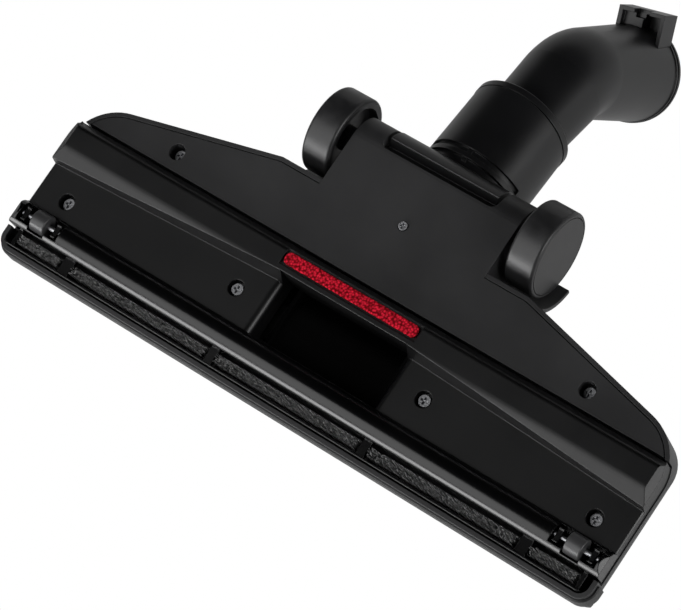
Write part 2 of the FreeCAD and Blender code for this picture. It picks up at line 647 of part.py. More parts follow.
def make_sole_plate():
    """Sole: front lip and bar, brush slot, two suction bays, mouth, rear land and the two ends."""
    body = new_body("sole_form")
    lip_top = at("sole_level") + " + 6.9"
    lip = outline(body, "LipProfile", "YZ_Plane", [
        ("-" + at("sole_front"), at("sole_level")),
        ("-" + at("slot_front"), at("sole_level")),
        ("-" + at("slot_front"), at("rib_bottom")),
        ("-" + at("bar_y"), at("rib_bottom")),
        ("-" + at("bar_y"), lip_top),
        ("-" + at("sole_front"), lip_top),
    ])
    pad(body, lip, "2 * Sizes.casing_half", middle=True)
    bar = circles(body, "BarProfile", "YZ_Plane", [
        ("-" + at("bar_y"), "Sizes.bar_lowest + Sizes.bar_radius", at("bar_radius"))])
    pad(body, bar, "2 * Sizes.casing_half", middle=True)
    half, skin = at("casing_half"), at("sole_skin")
    inner_top = "Sizes.bay_inner_level + " + skin
    mouth_top = "Sizes.mouth_level + " + skin
    mouth_side = "Sizes.mouth_half + " + skin
    bottom = at("bay_end_level") + " - 0.5"
    rise = [(half, at("end_top")), (mouth_side, inner_top), (mouth_side, mouth_top)]
    ceiling = outline(body, "CeilingProfile", "XZ_Plane",
                      rise + [("-(" + x + ")", z) for x, z in reversed(rise)]
                      + [("-" + half, bottom), (half, bottom)], lift="Sizes.bay_front + 2")
    wall_rear = "(Sizes.mouth_rear + 2.4)"
    pad(body, ceiling, "Sizes.bay_front + 2 + " + wall_rear, back=True)
    land = outline(body, "LandProfile", "YZ_Plane", [
        (at("land_front"), at("land_front_level")),
        (at("ridge_y"), at("land_level")),
        ("Sizes.strip_rear + Sizes.strip_play", at("land_level")),
        (at("sole_rear"), "Sizes.plate_level - 1"),
        (at("sole_rear"), at("end_top")),
        ("Sizes.sole_rear - 2", at("end_top")),
        ("Sizes.sole_rear - 2", "Sizes.land_level + 4.2"),
        (wall_rear, "Sizes.land_level + 2.6"),
        (wall_rear, at("end_top")),
        (at("land_front"), at("end_top")),
    ])
    pad(body, land, "2 * Sizes.casing_half", middle=True)
    ridges = {mm.ridge_y: at("ridge_round"), mm.strip_rear + mm.strip_play: "2.5"}
    for ridge, radius in ridges.items():
        def on_ridge(edge):
            middle = edge.CenterOfMass
            low = abs(middle.y - ridge) < 0.01 and abs(middle.z - mm.land_level) < 0.01
            return low and edge.BoundBox.XLength > mm.casing_half

        soften(body, radius, on_ridge)
    for tag, sign in (("Left", ""), ("Right", "-")):
        end_plate = outline(body, "EndPlate" + tag, "YZ_Plane", [
            ("-" + at("end_front"), bottom), (at("mouth_rear"), bottom),
            (at("mouth_rear"), "Sizes.land_level + 2.6"), (at("sole_rear"), "Sizes.land_level + 2.6"),
            (at("sole_rear"), at("end_top")), ("-" + at("end_front"), at("end_top"))],
            lift=sign + "(" + half + " - Sizes.end_thick / 2)")
        pad(body, end_plate, at("end_thick"), middle=True)
    add_sole_openings(body)
    limit = doc.addObject("Part::Feature", "SoleLimit")
    inside = casing_plan(mm.casing_wall + mm.sole_gap, 0, DEEP * 2)
    ends = Part.makeBox(2 * mm.casing_half, mm.end_front + mm.sole_rear, mm.end_top,
                        Vector(-mm.casing_half, -mm.end_front, 0))
    limit.Shape = inside.fuse(casing_plan(mm.end_step, 0, mm.end_top).common(ends))
    trimmed = doc.addObject("Part::Common", "SoleTrimmed")
    trimmed.Base = body
    trimmed.Tool = limit
    sole = doc.addObject("Part::Cut", "sole_plate")
    sole.Base = trimmed
    sole.Tool = bay_cutter()
    return finish(sole, "sole_plate")


def add_sole_openings(body):
    """Brush slot, hollow of the bar, roller wells, mouth, lint pocket and screw recesses."""
    front, rear = "-" + at("slot_front"), "-" + at("slot_rear")
    half = at("casing_half")
    spans = [("-" + at("slot_centre_half"), at("slot_centre_half"))]
    for sign in ("", "-"):
        spans.append((sign + at("slot_middle_start"), sign + from_end("slot_middle_end")))
        spans.append((sign + from_end("slot_end_start"), sign + from_end("slot_end_end")))
        spans.append((sign + from_end("slot_open"), sign + half))
    for k, (near, far) in enumerate(spans):
        opening = outline(body, "BrushSlot%d" % k, "XY_Plane",
                          [(near, front), (far, front), (far, rear), (near, rear)])
        pocket(body, opening, "40", back=True)
    whole = [("-" + half, front), (half, front), (half, rear), ("-" + half, rear)]
    pocket(body, outline(body, "RibBottoms", "XY_Plane", whole), at("rib_bottom"), back=True)
    pocket(body, outline(body, "RibTops", "XY_Plane", whole, lift=at("rib_top")), "40", back=True)
    hollow = "(Sizes.bar_radius - Sizes.sole_skin)"
    axis_level = "Sizes.bar_lowest + Sizes.bar_radius"
    reach = "(" + from_end("roller_end") + " - Sizes.well_inner - Sizes.sole_skin)"
    bore = circles(body, "BarHollow", "YZ_Plane", [("-" + at("bar_y"), axis_level, hollow)])
    pocket(body, bore, "2 * " + reach, middle=True)
    bar_front, bar_rear = "-Sizes.bar_y - 0.9 * " + hollow, "-Sizes.bar_y + 0.9 * " + hollow
    channel = outline(body, "BarChannel", "XY_Plane", [
        ("-" + reach, bar_front), (reach, bar_front), (reach, bar_rear), ("-" + reach, bar_rear)],
        lift=axis_level)
    pocket(body, channel, "Sizes.bar_radius + 1", back=True)
    for sign in ("", "-"):
        add_roller_well(body, sign)
    wide = at("mouth_half")
    mouth = outline(body, "Mouth", "XY_Plane", [
        ("-" + wide, "-" + at("mouth_front")), (wide, "-" + at("mouth_front")),
        (wide, at("mouth_rear")), ("-" + wide, at("mouth_rear"))])
    pocket(body, mouth, "40", back=True)
    play = " + " + at("strip_play")
    bed_half = "(Sizes.strip_half" + play + ")"
    near, far = "Sizes.strip_front - Sizes.strip_play", at("strip_rear") + play
    bed = outline(body, "LintPocket", "XY_Plane", [
        ("-" + bed_half, near), (bed_half, near), (bed_half, far), ("-" + bed_half, far)])
    pocket(body, bed, "Sizes.strip_face + Sizes.strip_thick", back=True)
    end_x = from_end("screw_end")
    for k, (x, y) in enumerate(((end_x, "0"), ("-" + end_x, "0"),
                                ("Sizes.screw_inner", "Sizes.screw_inner_y"),
                                ("-Sizes.screw_inner", "Sizes.screw_inner_y"))):
        boss = circles(body, "ScrewBoss%d" % k, "XY_Plane",
                       [(x, y, "Sizes.recess / 2 + Sizes.recess_wall")], lift=at("recess_top"))
        pad(body, boss, "Sizes.recess_top - Sizes.bay_inner_level", back=True)
        bore = circles(body, "ScrewBore%d" % k, "XY_Plane", [(x, y, "Sizes.recess / 2")])
        pocket(body, bore, "Sizes.recess_top - Sizes.seat_thick", back=True)
        hole = circles(body, "ScrewHole%d" % k, "XY_Plane", [(x, y, "Sizes.shank / 2 + Sizes.thread_play")])
        pocket(body, hole, "40", back=True)


def add_roller_well(body, sign):
    """The well of a front roller with the roller's own room, and the two clips that hold its pin."""
    tag = "Right" if sign else "Left"
    middle = from_end("roller_end")
    side_room = "(Sizes.roller_width / 2 + Sizes.clip_side)"
    rooms = (("RollerWell", at("well_inner"), at("well_outer"), "well_front", "well_rear"),
             ("RollerRoom", side_room, side_room, "room_front", "room_rear"))
    for name, inward, outward, front, rear in rooms:
        near, far = sign + "(" + middle + " - " + inward + ")", sign + "(" + middle + " + " + outward + ")"
        space = outline(body, name + tag, "XY_Plane", [
            (near, "-" + at(front)), (far, "-" + at(front)), (far, "-" + at(rear)), (near, "-" + at(rear))])
        pocket(body, space, at("well_depth"), back=True)
    y = "-" + at("roller_y")
    arm, body_level, top = at("clip_level"), "Sizes.clip_level + Sizes.clip_notch", "Sizes.well_depth + 0.5"
    ahead_out, ahead_in = y + " - Sizes.clip_outside", y + " - Sizes.clip_inside"
    behind_in, behind_out = y + " + Sizes.clip_inside", y + " + Sizes.clip_outside"
    for k, way in enumerate((" + ", " - ")):
        clip = outline(body, "PinClip%s%d" % (tag, k), "YZ_Plane", [
            (ahead_out, arm), (ahead_in, arm), (ahead_in, body_level), (behind_in, body_level),
            (behind_in, arm), (behind_out, arm), (behind_out, top), (ahead_out, top)],
            lift=sign + "(" + middle + way + "Sizes.clip_reach)")
        pad(body, clip, at("clip_width"), middle=True)
    hold = circles(body, "PinHold" + tag, "YZ_Plane",
                   [(y, at("roller_radius"), "Sizes.roller_pin / 2 + Sizes.run_play")], lift=sign + middle)
    pocket(body, hold, at("roller_pin_length"), middle=True)


def bay_plan(sign, level):
    """Plan of a suction bay at a height; its rear wall leans forward as it rises."""
    rise = (level - mm.land_level) / (mm.bay_inner_level - mm.land_level)
    end = mm.bay_edge_end + rise * (mm.bay_rear_end - mm.bay_edge_end)
    mouth = mm.bay_edge_mouth + rise * (mm.bay_rear_mouth - mm.bay_edge_mouth)
    near, far = sign * (mm.mouth_half - 0.5), sign * (mm.casing_half + 2)
    return Part.makePolygon([
        Vector(near, -mm.bay_front, level),
        Vector(far, -mm.bay_front, level),
        Vector(far, end, level),
        Vector(near, mouth, level),
        Vector(near, -mm.bay_front, level),
    ])


def bay_cutter():
    """The two suction bays with their ceilings, and the bevels under the sole's ends."""
    cutters = []
    beyond = 3.0
    for sign in (1, -1):
        near, far = mm.mouth_half - 0.5, mm.casing_half + beyond
        floor_wire = rounded_wire([
            (Vector(sign * far, -DEEP, -1), 0),
            (Vector(sign * far, -DEEP, mm.bay_end_level + beyond + 1), 0),
            (Vector(sign * (mm.casing_half - 1), -DEEP, mm.bay_end_level), 0),
            (Vector(sign * mm.mouth_half, -DEEP, mm.bay_inner_level), mm.mouth_round),
            (Vector(sign * mm.mouth_half, -DEEP, mm.mouth_level), 0),
            (Vector(sign * near, -DEEP, mm.mouth_level), 0),
            (Vector(sign * near, -DEEP, -1), 0),
        ])
        ceiling = prism(floor_wire, ALONG_Y * 3 * DEEP)
        plan = Part.makeLoft([bay_plan(sign, -2.0), bay_plan(sign, mm.mouth_level + 1)], True, True)
        cutters.append(plan.common(ceiling))
        slope = mm.end_bevel_rise / mm.end_bevel
        start = mm.casing_half - mm.end_bevel
        bevel = Part.makePolygon([
            Vector(sign * start, -DEEP, mm.land_level),
            Vector(sign * far, -DEEP, mm.land_level + slope * (far - start)),
            Vector(sign * far, -DEEP, -1),
            Vector(sign * start, -DEEP, -1),
            Vector(sign * start, -DEEP, mm.land_level),
        ])
        cutters.append(prism(bevel, ALONG_Y * 3 * DEEP))
    tool = doc.addObject("Part::Feature", "BayCutter")
    tool.Shape = cutters[0].fuse(cutters[1:])
    return tool


# Rear base plate

def tail_outline(start, radius, top):
    """Side view of the plate's tail: level under the tilt axis, then up round it to the top."""
    low = mm.tilt_height - radius
    rear = about_tilt(radius, 0)
    return Part.Wire([
        Part.makeLine(side(start, low), side(mm.tilt_y, low)),
        Part.Arc(side(mm.tilt_y, low), about_tilt(radius, -45), rear).toShape(),
        Part.makeLine(rear, side(rear.y, top + 1)),
        Part.makeLine(side(rear.y, top + 1), side(start, top + 1)),
        Part.makeLine(side(start, top + 1), side(start, low)),
    ])


def make_rear_base_plate():
    """Base plate with the lower half of the two bearing cheeks."""
    inset = mm.casing_wall + mm.sole_gap
    plate = casing_plan(inset, mm.plate_level, plate_top)
    plate = plate.cut(Part.makeBox(400, 200, TOP, Vector(-200, mm.plate_front - 200, 0)))
    tail = side_prism(tail_outline(mm.bay_wall_y - inset - 1, nose_radius, mm.tilt_height), mm.neck_half)
    hollow_wire = tail_outline(mm.bay_wall_y - inset - 2, nose_radius - mm.plate_thick, mm.tilt_height + 1)
    tail = tail.cut(Part.makeBox(400, 400, TOP, Vector(-200, 0, mm.tilt_height)))
    tail = tail.cut(side_band(hollow_wire, mm.notch_half + mm.casing_wall, mm.neck_half - mm.casing_wall))
    tail = tail.cut(side_prism(hollow_wire, mm.notch_half))
    notch = Part.makeBox(2 * mm.notch_half, DEEP * 2, TOP, Vector(-mm.notch_half, mm.notch_front, 0))
    corners = [edge for edge in notch.Edges if abs(edge.CenterOfMass.y - mm.notch_front) < 0.01
               and edge.BoundBox.ZLength > 1]
    tail = tail.cut(notch.makeFillet(3.0, corners))
    tail = tail.cut(tilt_rod(mm.axle_boss + mm.sole_gap, -TOP, TOP))
    plate = plate.fuse(tail)
    for x, y in SCREWS["rear"]:
        boss = rod(mm.recess / 2 + mm.recess_wall, Vector(x, y, plate_top - 0.5),
                   UP * (mm.recess_top - plate_top + 0.5))
        plate = plate.fuse(boss)
        plate = plate.cut(rod(mm.recess / 2, Vector(x, y, 0), UP * screw_seat))
        plate = plate.cut(rod(mm.shank / 2 + mm.thread_play, Vector(x, y, 0), UP * TOP))
    plate = plate.cut(rod(mm.centre_head / 2 + mm.fit_gap, Vector(0, mm.screw_centre_y, 0),
                          UP * (mm.plate_level + mm.head_height - 0.6)))
    plate = plate.cut(rod(mm.shank / 2 + mm.thread_play, Vector(0, mm.screw_centre_y, 0), UP * DEEP))
    return feature("rear_base_plate", plate.removeSplitter())


# Air path inside

duct_end = mm.drum_radius + mm.seal_play + mm.seal_thick
duct_base = mm.mouth_level + mm.sole_skin + mm.duct_seat


def make_air_duct():
    """Closed channel from the mouth up to the drum of the knuckle."""
    outer = [
        (side(-mm.mouth_front - mm.duct_wall, duct_base), 0),
        (side(-mm.mouth_front - mm.duct_wall, duct_base + 2.4), 0),
        (side(mm.hood_start + 4, mm.deck_mid - 2.6), 6.0),
        (side(mm.hood_crest_y, mm.hood_crest - 3.6), 14.0),
        (about_tilt(duct_end, mm.lip_angle + 1.5), 0),
        (about_tilt(duct_end - 3, 160), 0),
        (about_tilt(duct_end, 190), 0),
        (side(mm.sole_rear + 1.2, mm.plate_level + 6.6), 0),
        (side(mm.mouth_rear + 5.0, mm.plate_level + 6.8), 4.0),
        (side(mm.mouth_rear + 2.4 + mm.fit_gap, duct_base), 0),
    ]
    channel = side_prism(rounded_wire(outer), mm.duct_half)
    inner = inset_wire(rounded_wire(outer), mm.duct_wall)
    channel = channel.cut(side_prism(inner, mm.duct_half - mm.duct_wall))
    inlet = Part.makeBox(2 * (mm.duct_half - mm.duct_wall), mm.mouth_front + mm.mouth_rear, 2 * mm.duct_wall,
                         Vector(mm.duct_wall - mm.duct_half, -mm.mouth_front, duct_base - mm.duct_wall))
    channel = channel.cut(inlet)
    channel = channel.cut(tilt_rod(duct_end, -TOP, TOP))
    return feature("air_duct", channel.removeSplitter())


def make_duct_seal():
    """Rubber frame on the duct's end, which wipes the drum of the knuckle."""
    frame = tilt_rod(duct_end, -mm.duct_half, mm.duct_half)
    frame = frame.cut(tilt_rod(mm.drum_radius + mm.seal_play, -TOP, TOP))
    for low, high, half, keep in ((mm.lip_angle + 2, 189.5, TOP, True),
                                  (mm.lip_angle + 6, 186, mm.duct_half - 3, False)):
        fan = rounded_wire([
            (side(mm.tilt_y, mm.tilt_height), 0),
            (about_tilt(2 * TOP, low), 0),
            (about_tilt(3 * TOP, (low + high) / 2), 0),
            (about_tilt(2 * TOP, high), 0),
        ])
        fan_solid = side_prism(fan, half)
        frame = frame.common(fan_solid) if keep else frame.cut(fan_solid)
    return feature("duct_seal", frame)


# Neck: knuckle with its barrel, collar and elbow

barrel_start = side(mm.barrel_start_y, mm.barrel_start_height)
barrel_way = side(cos(radians(mm.barrel_angle)), sin(radians(mm.barrel_angle)))
seam_centre = barrel_start + barrel_way * mm.barrel_length
swivel_way = side(cos(radians(mm.swivel_angle)), sin(radians(mm.swivel_angle)))
swivel_up = side(-sin(radians(mm.swivel_angle)), cos(radians(mm.swivel_angle)))


def barrel_cone(shift, start, end):
    """A piece of the tapered barrel, its radius changed by the shift."""
    first = mm.barrel_radius - mm.barrel_taper * start + shift
    last = mm.barrel_radius - mm.barrel_taper * end + shift
    return Part.makeCone(first, last, end - start, barrel_start + barrel_way * start, barrel_way)


def underside_ring(start, end, outer):
    """A groove cutter round the underside of the barrel."""
    origin = barrel_start + barrel_way * start
    ring = rod(outer, origin, barrel_way * (end - start))
    ring = ring.cut(rod(mm.groove_floor, origin, barrel_way * (end - start)))
    across = outer * 2 * sin(radians(mm.groove_half_angle))
    down = side(sin(radians(mm.barrel_angle)), -cos(radians(mm.barrel_angle)))
    reach = outer * 2 * cos(radians(mm.groove_half_angle))
    fan = Part.makePolygon([origin, origin + down * reach + ALONG_X * across,
                            origin + down * 3 * outer + ALONG_X * across,
                            origin + down * 3 * outer - ALONG_X * across,
                            origin + down * reach - ALONG_X * across, origin])
    return ring.common(prism(fan, barrel_way * (end - start)))


def make_neck_knuckle():
    """Drum, skirt and barrel in one moulding, hollow from the drum's front to the barrel's end."""
    top_angle = 90 + mm.barrel_angle
    crown = barrel_start + barrel_way * 6 + side(-sin(radians(mm.barrel_angle)),
                                                 cos(radians(mm.barrel_angle))) * (mm.barrel_radius - 0.6)
    front = mm.drum_front_angle
    shoulder = side(mm.tilt_y + mm.skirt_radius - 1.6, mm.tilt_height + 26)
    outline_edges = [
        Part.Arc(about_tilt(mm.drum_radius, top_angle), about_tilt(mm.drum_radius, (top_angle + front) / 2),
                 about_tilt(mm.drum_radius, front)).toShape(),
        Part.makeLine(about_tilt(mm.drum_radius, front), about_tilt(mm.hub_radius, 200)),
        Part.Arc(about_tilt(mm.hub_radius, 200), about_tilt(mm.hub_radius, 247),
                 about_tilt(mm.hub_radius, 295)).toShape(),
        Part.makeLine(about_tilt(mm.hub_radius, 295), about_tilt(mm.skirt_radius, 301)),
        Part.Arc(about_tilt(mm.skirt_radius, 301), about_tilt(mm.skirt_radius, 330),
                 about_tilt(mm.skirt_radius, 360)).toShape(),
        Part.makeLine(about_tilt(mm.skirt_radius, 0), shoulder),
        Part.makeLine(shoulder, crown),
        Part.makeLine(crown, about_tilt(mm.drum_radius, top_angle)),
    ]
    drum = side_prism(Part.Wire(outline_edges), mm.drum_half)
    seam_end = mm.barrel_length + 12
    barrel = barrel_cone(0, 0, seam_end)
    shape = drum.fuse(barrel)
    beyond = rod(TOP, seam_centre, swivel_way * TOP)
    shape = shape.cut(beyond)
    pocket_ring = underside_ring(2, mm.ring_start, mm.barrel_radius + 2.2)
    pocket_ring = pocket_ring.cut(tilt_rod(mm.skirt_radius, -TOP, TOP))
    groove_start = mm.ring_start + mm.ring_width
    groove = underside_ring(groove_start, groove_start + mm.groove_width, mm.barrel_radius + 2.2)
    shape = shape.cut(pocket_ring).cut(groove)
    rib_foot = barrel_start + barrel_way * (mm.ring_start - 1.5)
    down = side(sin(radians(mm.barrel_angle)), -cos(radians(mm.barrel_angle)))
    low, high = down * mm.groove_floor, down * (mm.barrel_radius - 0.3)
    rib = Part.makePolygon([rib_foot + low - ALONG_X, rib_foot + low + ALONG_X,
                            rib_foot + high + ALONG_X, rib_foot + high - ALONG_X,
                            rib_foot + low - ALONG_X])
    rib_length = mm.ring_width + mm.groove_width + 1.5
    shape = shape.fuse(prism(rib, barrel_way * rib_length, -down * 0.4))
    floor_level = mm.tilt_height + mm.axle / 2 + 0.4
    inside = mm.drum_radius - mm.drum_wall
    rear_y = mm.tilt_y + mm.skirt_radius - 4.4
    roof = Part.Arc(about_tilt(inside, top_angle + 2), about_tilt(inside, 130), about_tilt(inside, 160))
    cavity_wire = Part.Wire([
        roof.toShape(),
        Part.makeLine(about_tilt(inside, 160), side(mm.tilt_y - mm.drum_radius, floor_level - 4)),
        Part.makeLine(side(mm.tilt_y - mm.drum_radius, floor_level - 4),
                      side(mm.tilt_y - mm.hub_radius, floor_level)),
        Part.makeLine(side(mm.tilt_y - mm.hub_radius, floor_level), side(rear_y, floor_level)),
        Part.makeLine(side(rear_y, floor_level), side(rear_y, mm.tilt_height + 26)),
        Part.makeLine(side(rear_y, mm.tilt_height + 26), about_tilt(inside, top_angle + 2)),
    ])
    shape = shape.cut(side_prism(cavity_wire, mm.drum_half - mm.drum_wall))
    shape = shape.cut(Part.makeCylinder(mm.barrel_bore, mm.barrel_length - 4, barrel_start, barrel_way))
    shape = shape.cut(Part.makeCylinder(mm.barrel_bore, 40, seam_centre - swivel_way * 14, swivel_way))
    shape = shape.cut(tilt_rod(mm.axle / 2 + mm.run_play, mm.axle_inner - 0.5, TOP))
    shape = shape.cut(tilt_rod(mm.axle / 2 + mm.run_play, -TOP, 0.5 - mm.axle_inner))
    return feature("neck_knuckle", shape.removeSplitter())


pipe_foot = seam_centre + swivel_way * mm.collar_height + swivel_up * mm.pipe_offset
spigot_radius = mm.barrel_bore - mm.spigot_play
bore_start = mm.pipe_start_radius - mm.pipe_wall


def make_swivel_collar():
    """Collar that turns on the barrel, with its spigot inside and the seal's groove."""
    ring = rod(mm.collar_radius, seam_centre + swivel_way * mm.seam_gap,
               swivel_way * (mm.collar_height - mm.seam_gap))
    top_edge = [edge for edge in ring.Edges if len(edge.Vertexes) == 1
                and (edge.CenterOfMass - seam_centre).dot(swivel_way) > mm.collar_height / 2]
    ring = ring.makeChamfer(mm.collar_chamfer, top_edge)
    spigot = rod(spigot_radius, seam_centre - swivel_way * mm.spigot_depth,
                 swivel_way * (mm.spigot_depth + mm.seam_gap))
    ring = ring.fuse(spigot)
    inner = spigot_radius - mm.spigot_wall
    ring = ring.cut(rod(inner, seam_centre - swivel_way * (mm.spigot_depth + 1),
                        swivel_way * (mm.spigot_depth + 2)))
    ring = ring.cut(rod(bore_start, pipe_foot - swivel_way * 4, swivel_way * 8))
    seal_top = seam_centre - swivel_way * (mm.spigot_depth / 2)
    groove = rod(spigot_radius + 1, seal_top, swivel_way * mm.seal_width)
    groove = groove.cut(rod(spigot_radius - mm.seal_depth, seal_top, swivel_way * mm.seal_width))
    return feature("swivel_collar", ring.cut(groove).removeSplitter())


def make_swivel_seal():
    """Ring that seals the spigot in the barrel."""
    foot = seam_centre - swivel_way * (mm.spigot_depth / 2)
    ring = rod(mm.barrel_bore - mm.run_play, foot, swivel_way * mm.seal_width)
    hole = rod(spigot_radius - mm.seal_depth, foot, swivel_way * mm.seal_width)
    return feature("swivel_seal", ring.cut(hole))


bend_start = seam_centre + swivel_way * mm.pipe_first + swivel_up * mm.pipe_offset
bend_centre = bend_start + swivel_up * mm.bend_radius
end_angle = mm.swivel_angle + mm.bend_angle
end_way = side(cos(radians(end_angle)), sin(radians(end_angle)))
end_out = side(sin(radians(end_angle)), -cos(radians(end_angle)))
bend_end = bend_centre + end_out * mm.bend_radius
pipe_end = bend_end + end_way * mm.pipe_last


def elbow_form(shrink):
    """The filled elbow, thinner all round by the shrink: cone, bend and cone."""
    first = Part.makeCone(mm.pipe_start_radius - shrink, mm.pipe_bend_radius - shrink,
                          mm.pipe_first - mm.collar_height, pipe_foot, swivel_way)
    disc = Part.Face(Part.Wire(Part.makeCircle(mm.pipe_bend_radius - shrink, bend_start, swivel_way)))
    bend = disc.revolve(bend_centre, ALONG_X, mm.bend_angle)
    last = Part.makeCone(mm.pipe_bend_radius - shrink, mm.pipe_end_radius - shrink,
                         mm.pipe_last, bend_end, end_way)
    return first.fuse([bend, last])


def elbow_outside():
    """The filled elbow with the double rim at its end."""
    shape = elbow_form(0)
    for back, width, radius in ((0.0, mm.rim_width, mm.rim_radius),
                                (mm.rim_width + 0.9, mm.rim_width - 0.5, mm.rim_radius - 0.2)):
        shape = shape.fuse(rod(radius, pipe_end - end_way * (back + width), end_way * width))
    return shape


def make_elbow_pipe():
    """Elbow with the socket for the wand tube."""
    shape = elbow_outside()
    socket_foot = pipe_end - end_way * mm.socket_depth
    inner = elbow_form(mm.pipe_wall).cut(rod(TOP, socket_foot, end_way * TOP))
    shape = shape.cut(inner)
    shape = shape.cut(rod(bore_start, pipe_foot - swivel_way, swivel_way * 4))
    socket = mm.tube_diameter / 2 + mm.socket_play
    shape = shape.cut(rod(socket, socket_foot, end_way * (mm.socket_depth + 1)))
    return feature("elbow_pipe", shape.removeSplitter())


def make_parking_hook():
    """Slotted hook on the outer side of the elbow's end, turned a little round it."""
    wide, height, wall = mm.hook_left + mm.hook_right, mm.hook_height, mm.hook_wall
    rear = -mm.hook_length - mm.hook_back
    low = mm.pipe_bend_radius - 6
    block = Part.makeBox(wide, height - low, mm.hook_length, Vector(-mm.hook_right, low, rear))
    room = Part.makeBox(wide - 2 * wall, height - low - wall, mm.hook_length - wall,
                        Vector(wall - mm.hook_right, low, rear))
    core_wide = 0.5 * wide
    core = Part.makeBox(core_wide, height - low - wall, mm.hook_length - wall - 3,
                        Vector(mm.hook_left - core_wide, low, rear + 3))
    middle_x = (mm.hook_left - mm.hook_right) / 2
    slot = Part.makeBox(mm.hook_slot, 3 * wall, mm.hook_length / 2,
                        Vector(middle_x - mm.hook_slot / 2, height - 2 * wall, rear - 1))
    shape = block.cut(room).fuse(core).cut(slot)
    turn = FreeCAD.Rotation(UP, -mm.hook_twist)
    shape.transformShape(FreeCAD.Placement(Vector(0, 0, 0), turn).toMatrix())
    frame = FreeCAD.Matrix(1, end_out.x, end_way.x, pipe_end.x,
                           0, end_out.y, end_way.y, pipe_end.y,
                           0, end_out.z, end_way.z, pipe_end.z,
                           0, 0, 0, 1)
    shape.transformShape(frame)
    shape = shape.cut(elbow_outside())
    solids = sorted(shape.Solids, key=lambda solid: solid.Volume)
    return feature("parking_hook", solids[-1].removeSplitter())


# Wheels, rollers, brush, lint strip, pedal and fasteners

SIDES = (("left", ""), ("right", "-"))


def ring_profile(body, name, corners, sign):
    """A half section for a turned piece: distance from the middle, then radius."""
    return outline(body, name, "XZ_Plane", [(sign + "(" + x + ")", radius) for x, radius in corners])


def turned(label, corners, sign):
    """A body turned about the X axis."""
    body = new_body(label)
    revolve(body, ring_profile(body, label + "Profile", corners, sign), "H_Axis")
    return body


def make_wheel(side_name, sign):
    """Rear wheel: hub, tread, closing disc, axle and the clip on the axle."""
    y, z = at("tilt_y"), at("tilt_height")
    hub_radius = "Sizes.wheel_radius - Sizes.tread_thick"
    inner, outer = at("wheel_inner"), "Sizes.wheel_inner + Sizes.wheel_width"
    seat = outer + " - Sizes.cap_thick"
    bore = "Sizes.axle / 2 + Sizes.run_play"
    web = inner + " + Sizes.wheel_width / 3"
    boss_start, boss_end = "Sizes.neck_half + Sizes.fit_gap", "Sizes.axle_outer - 1.2"
    rim_inside = hub_radius + " - Sizes.rim_wall"
    hub = turned("wheel_hub_" + side_name, [
        (boss_start, bore), (boss_end, bore), (boss_end, at("boss_radius")),
        (web + " + Sizes.web_thick", at("boss_radius")), (web + " + Sizes.web_thick", rim_inside),
        (seat, rim_inside), (seat, hub_radius), (inner, hub_radius), (inner, rim_inside),
        (web, rim_inside), (web, at("boss_radius")), (boss_start, at("boss_radius")),
    ], sign)
    finish(hub, "wheel_hub_" + side_name, y, z)
    tread = turned("wheel_tread_" + side_name, [
        (inner, hub_radius), (outer, hub_radius), (outer, at("wheel_radius")), (inner, at("wheel_radius")),
    ], sign)

    def tread_edge(edge):
        return abs(edge.BoundBox.ZLength - 2 * mm.wheel_radius) < 0.1 and edge.BoundBox.XLength < 0.01

    soften(tread, at("tread_round"), tread_edge)
    finish(tread, "wheel_tread_" + side_name, y, z)
    cap_face = hub_radius + " - Sizes.fit_gap"
    spring_in = rim_inside + " - Sizes.fit_gap / 2"
    cap = turned("wheel_cap_" + side_name, [
        (seat, "0"), (outer, "0"), (outer, cap_face), (seat, cap_face),
        (seat, spring_in), (seat + " - 2", spring_in), (seat + " - 2", spring_in + " - 1.2"),
        (seat, spring_in + " - 1.2"),
    ], sign)
    finish(cap, "wheel_cap_" + side_name, y, z)
    axle = turned("wheel_axle_" + side_name, [
        (at("axle_inner"), "0"), (at("axle_outer"), "0"), (at("axle_outer"), "Sizes.axle / 2"),
        (at("axle_inner"), "Sizes.axle / 2"),
    ], sign)
    finish(axle, "wheel_axle_" + side_name, y, z)
    clip_start = "Sizes.axle_outer - 1"
    clip = turned("axle_clip_" + side_name, [
        (clip_start, "Sizes.axle / 2"), (clip_start + " + 0.6", "Sizes.axle / 2"),
        (clip_start + " + 0.6", "Sizes.boss_radius - 0.4"), (clip_start, "Sizes.boss_radius - 0.4"),
    ], sign)
    finish(clip, "axle_clip_" + side_name, y, z)


def make_roller(side_name, sign):
    """Front roller, pressed on the steel pin that turns in the clips."""
    x, y, z = from_end("roller_end"), "-" + at("roller_y"), at("roller_radius")
    near = x + " - Sizes.roller_width / 2"
    far = x + " + Sizes.roller_width / 2"
    bore = "Sizes.roller_pin / 2"
    roller = turned("front_roller_" + side_name, [
        (near, bore), (far, bore), (far, at("roller_radius")), (near, at("roller_radius")),
    ], sign)

    def rim(edge):
        return abs(edge.BoundBox.ZLength - 2 * mm.roller_radius) < 0.1 and edge.BoundBox.XLength < 0.01

    soften(roller, "Sizes.roller_radius / 8", rim)
    finish(roller, "front_roller_" + side_name, y, z)
    half = "Sizes.roller_pin_length / 2"
    pin = turned("roller_pin_" + side_name, [
        (x + " - " + half, "0"), (x + " + " + half, "0"),
        (x + " + " + half, "Sizes.roller_pin / 2"),
        (x + " - " + half, "Sizes.roller_pin / 2"),
    ], sign)
    finish(pin, "roller_pin_" + side_name, y, z)


def solid_of(kind, name, x, y, z, **lengths):
    """A primitive at a corner or foot given by three expressions."""
    thing = doc.addObject("Part::" + kind, name)
    for key, expression in lengths.items():
        thing.setExpression(key, expression)
    return place(thing, x, y, z)


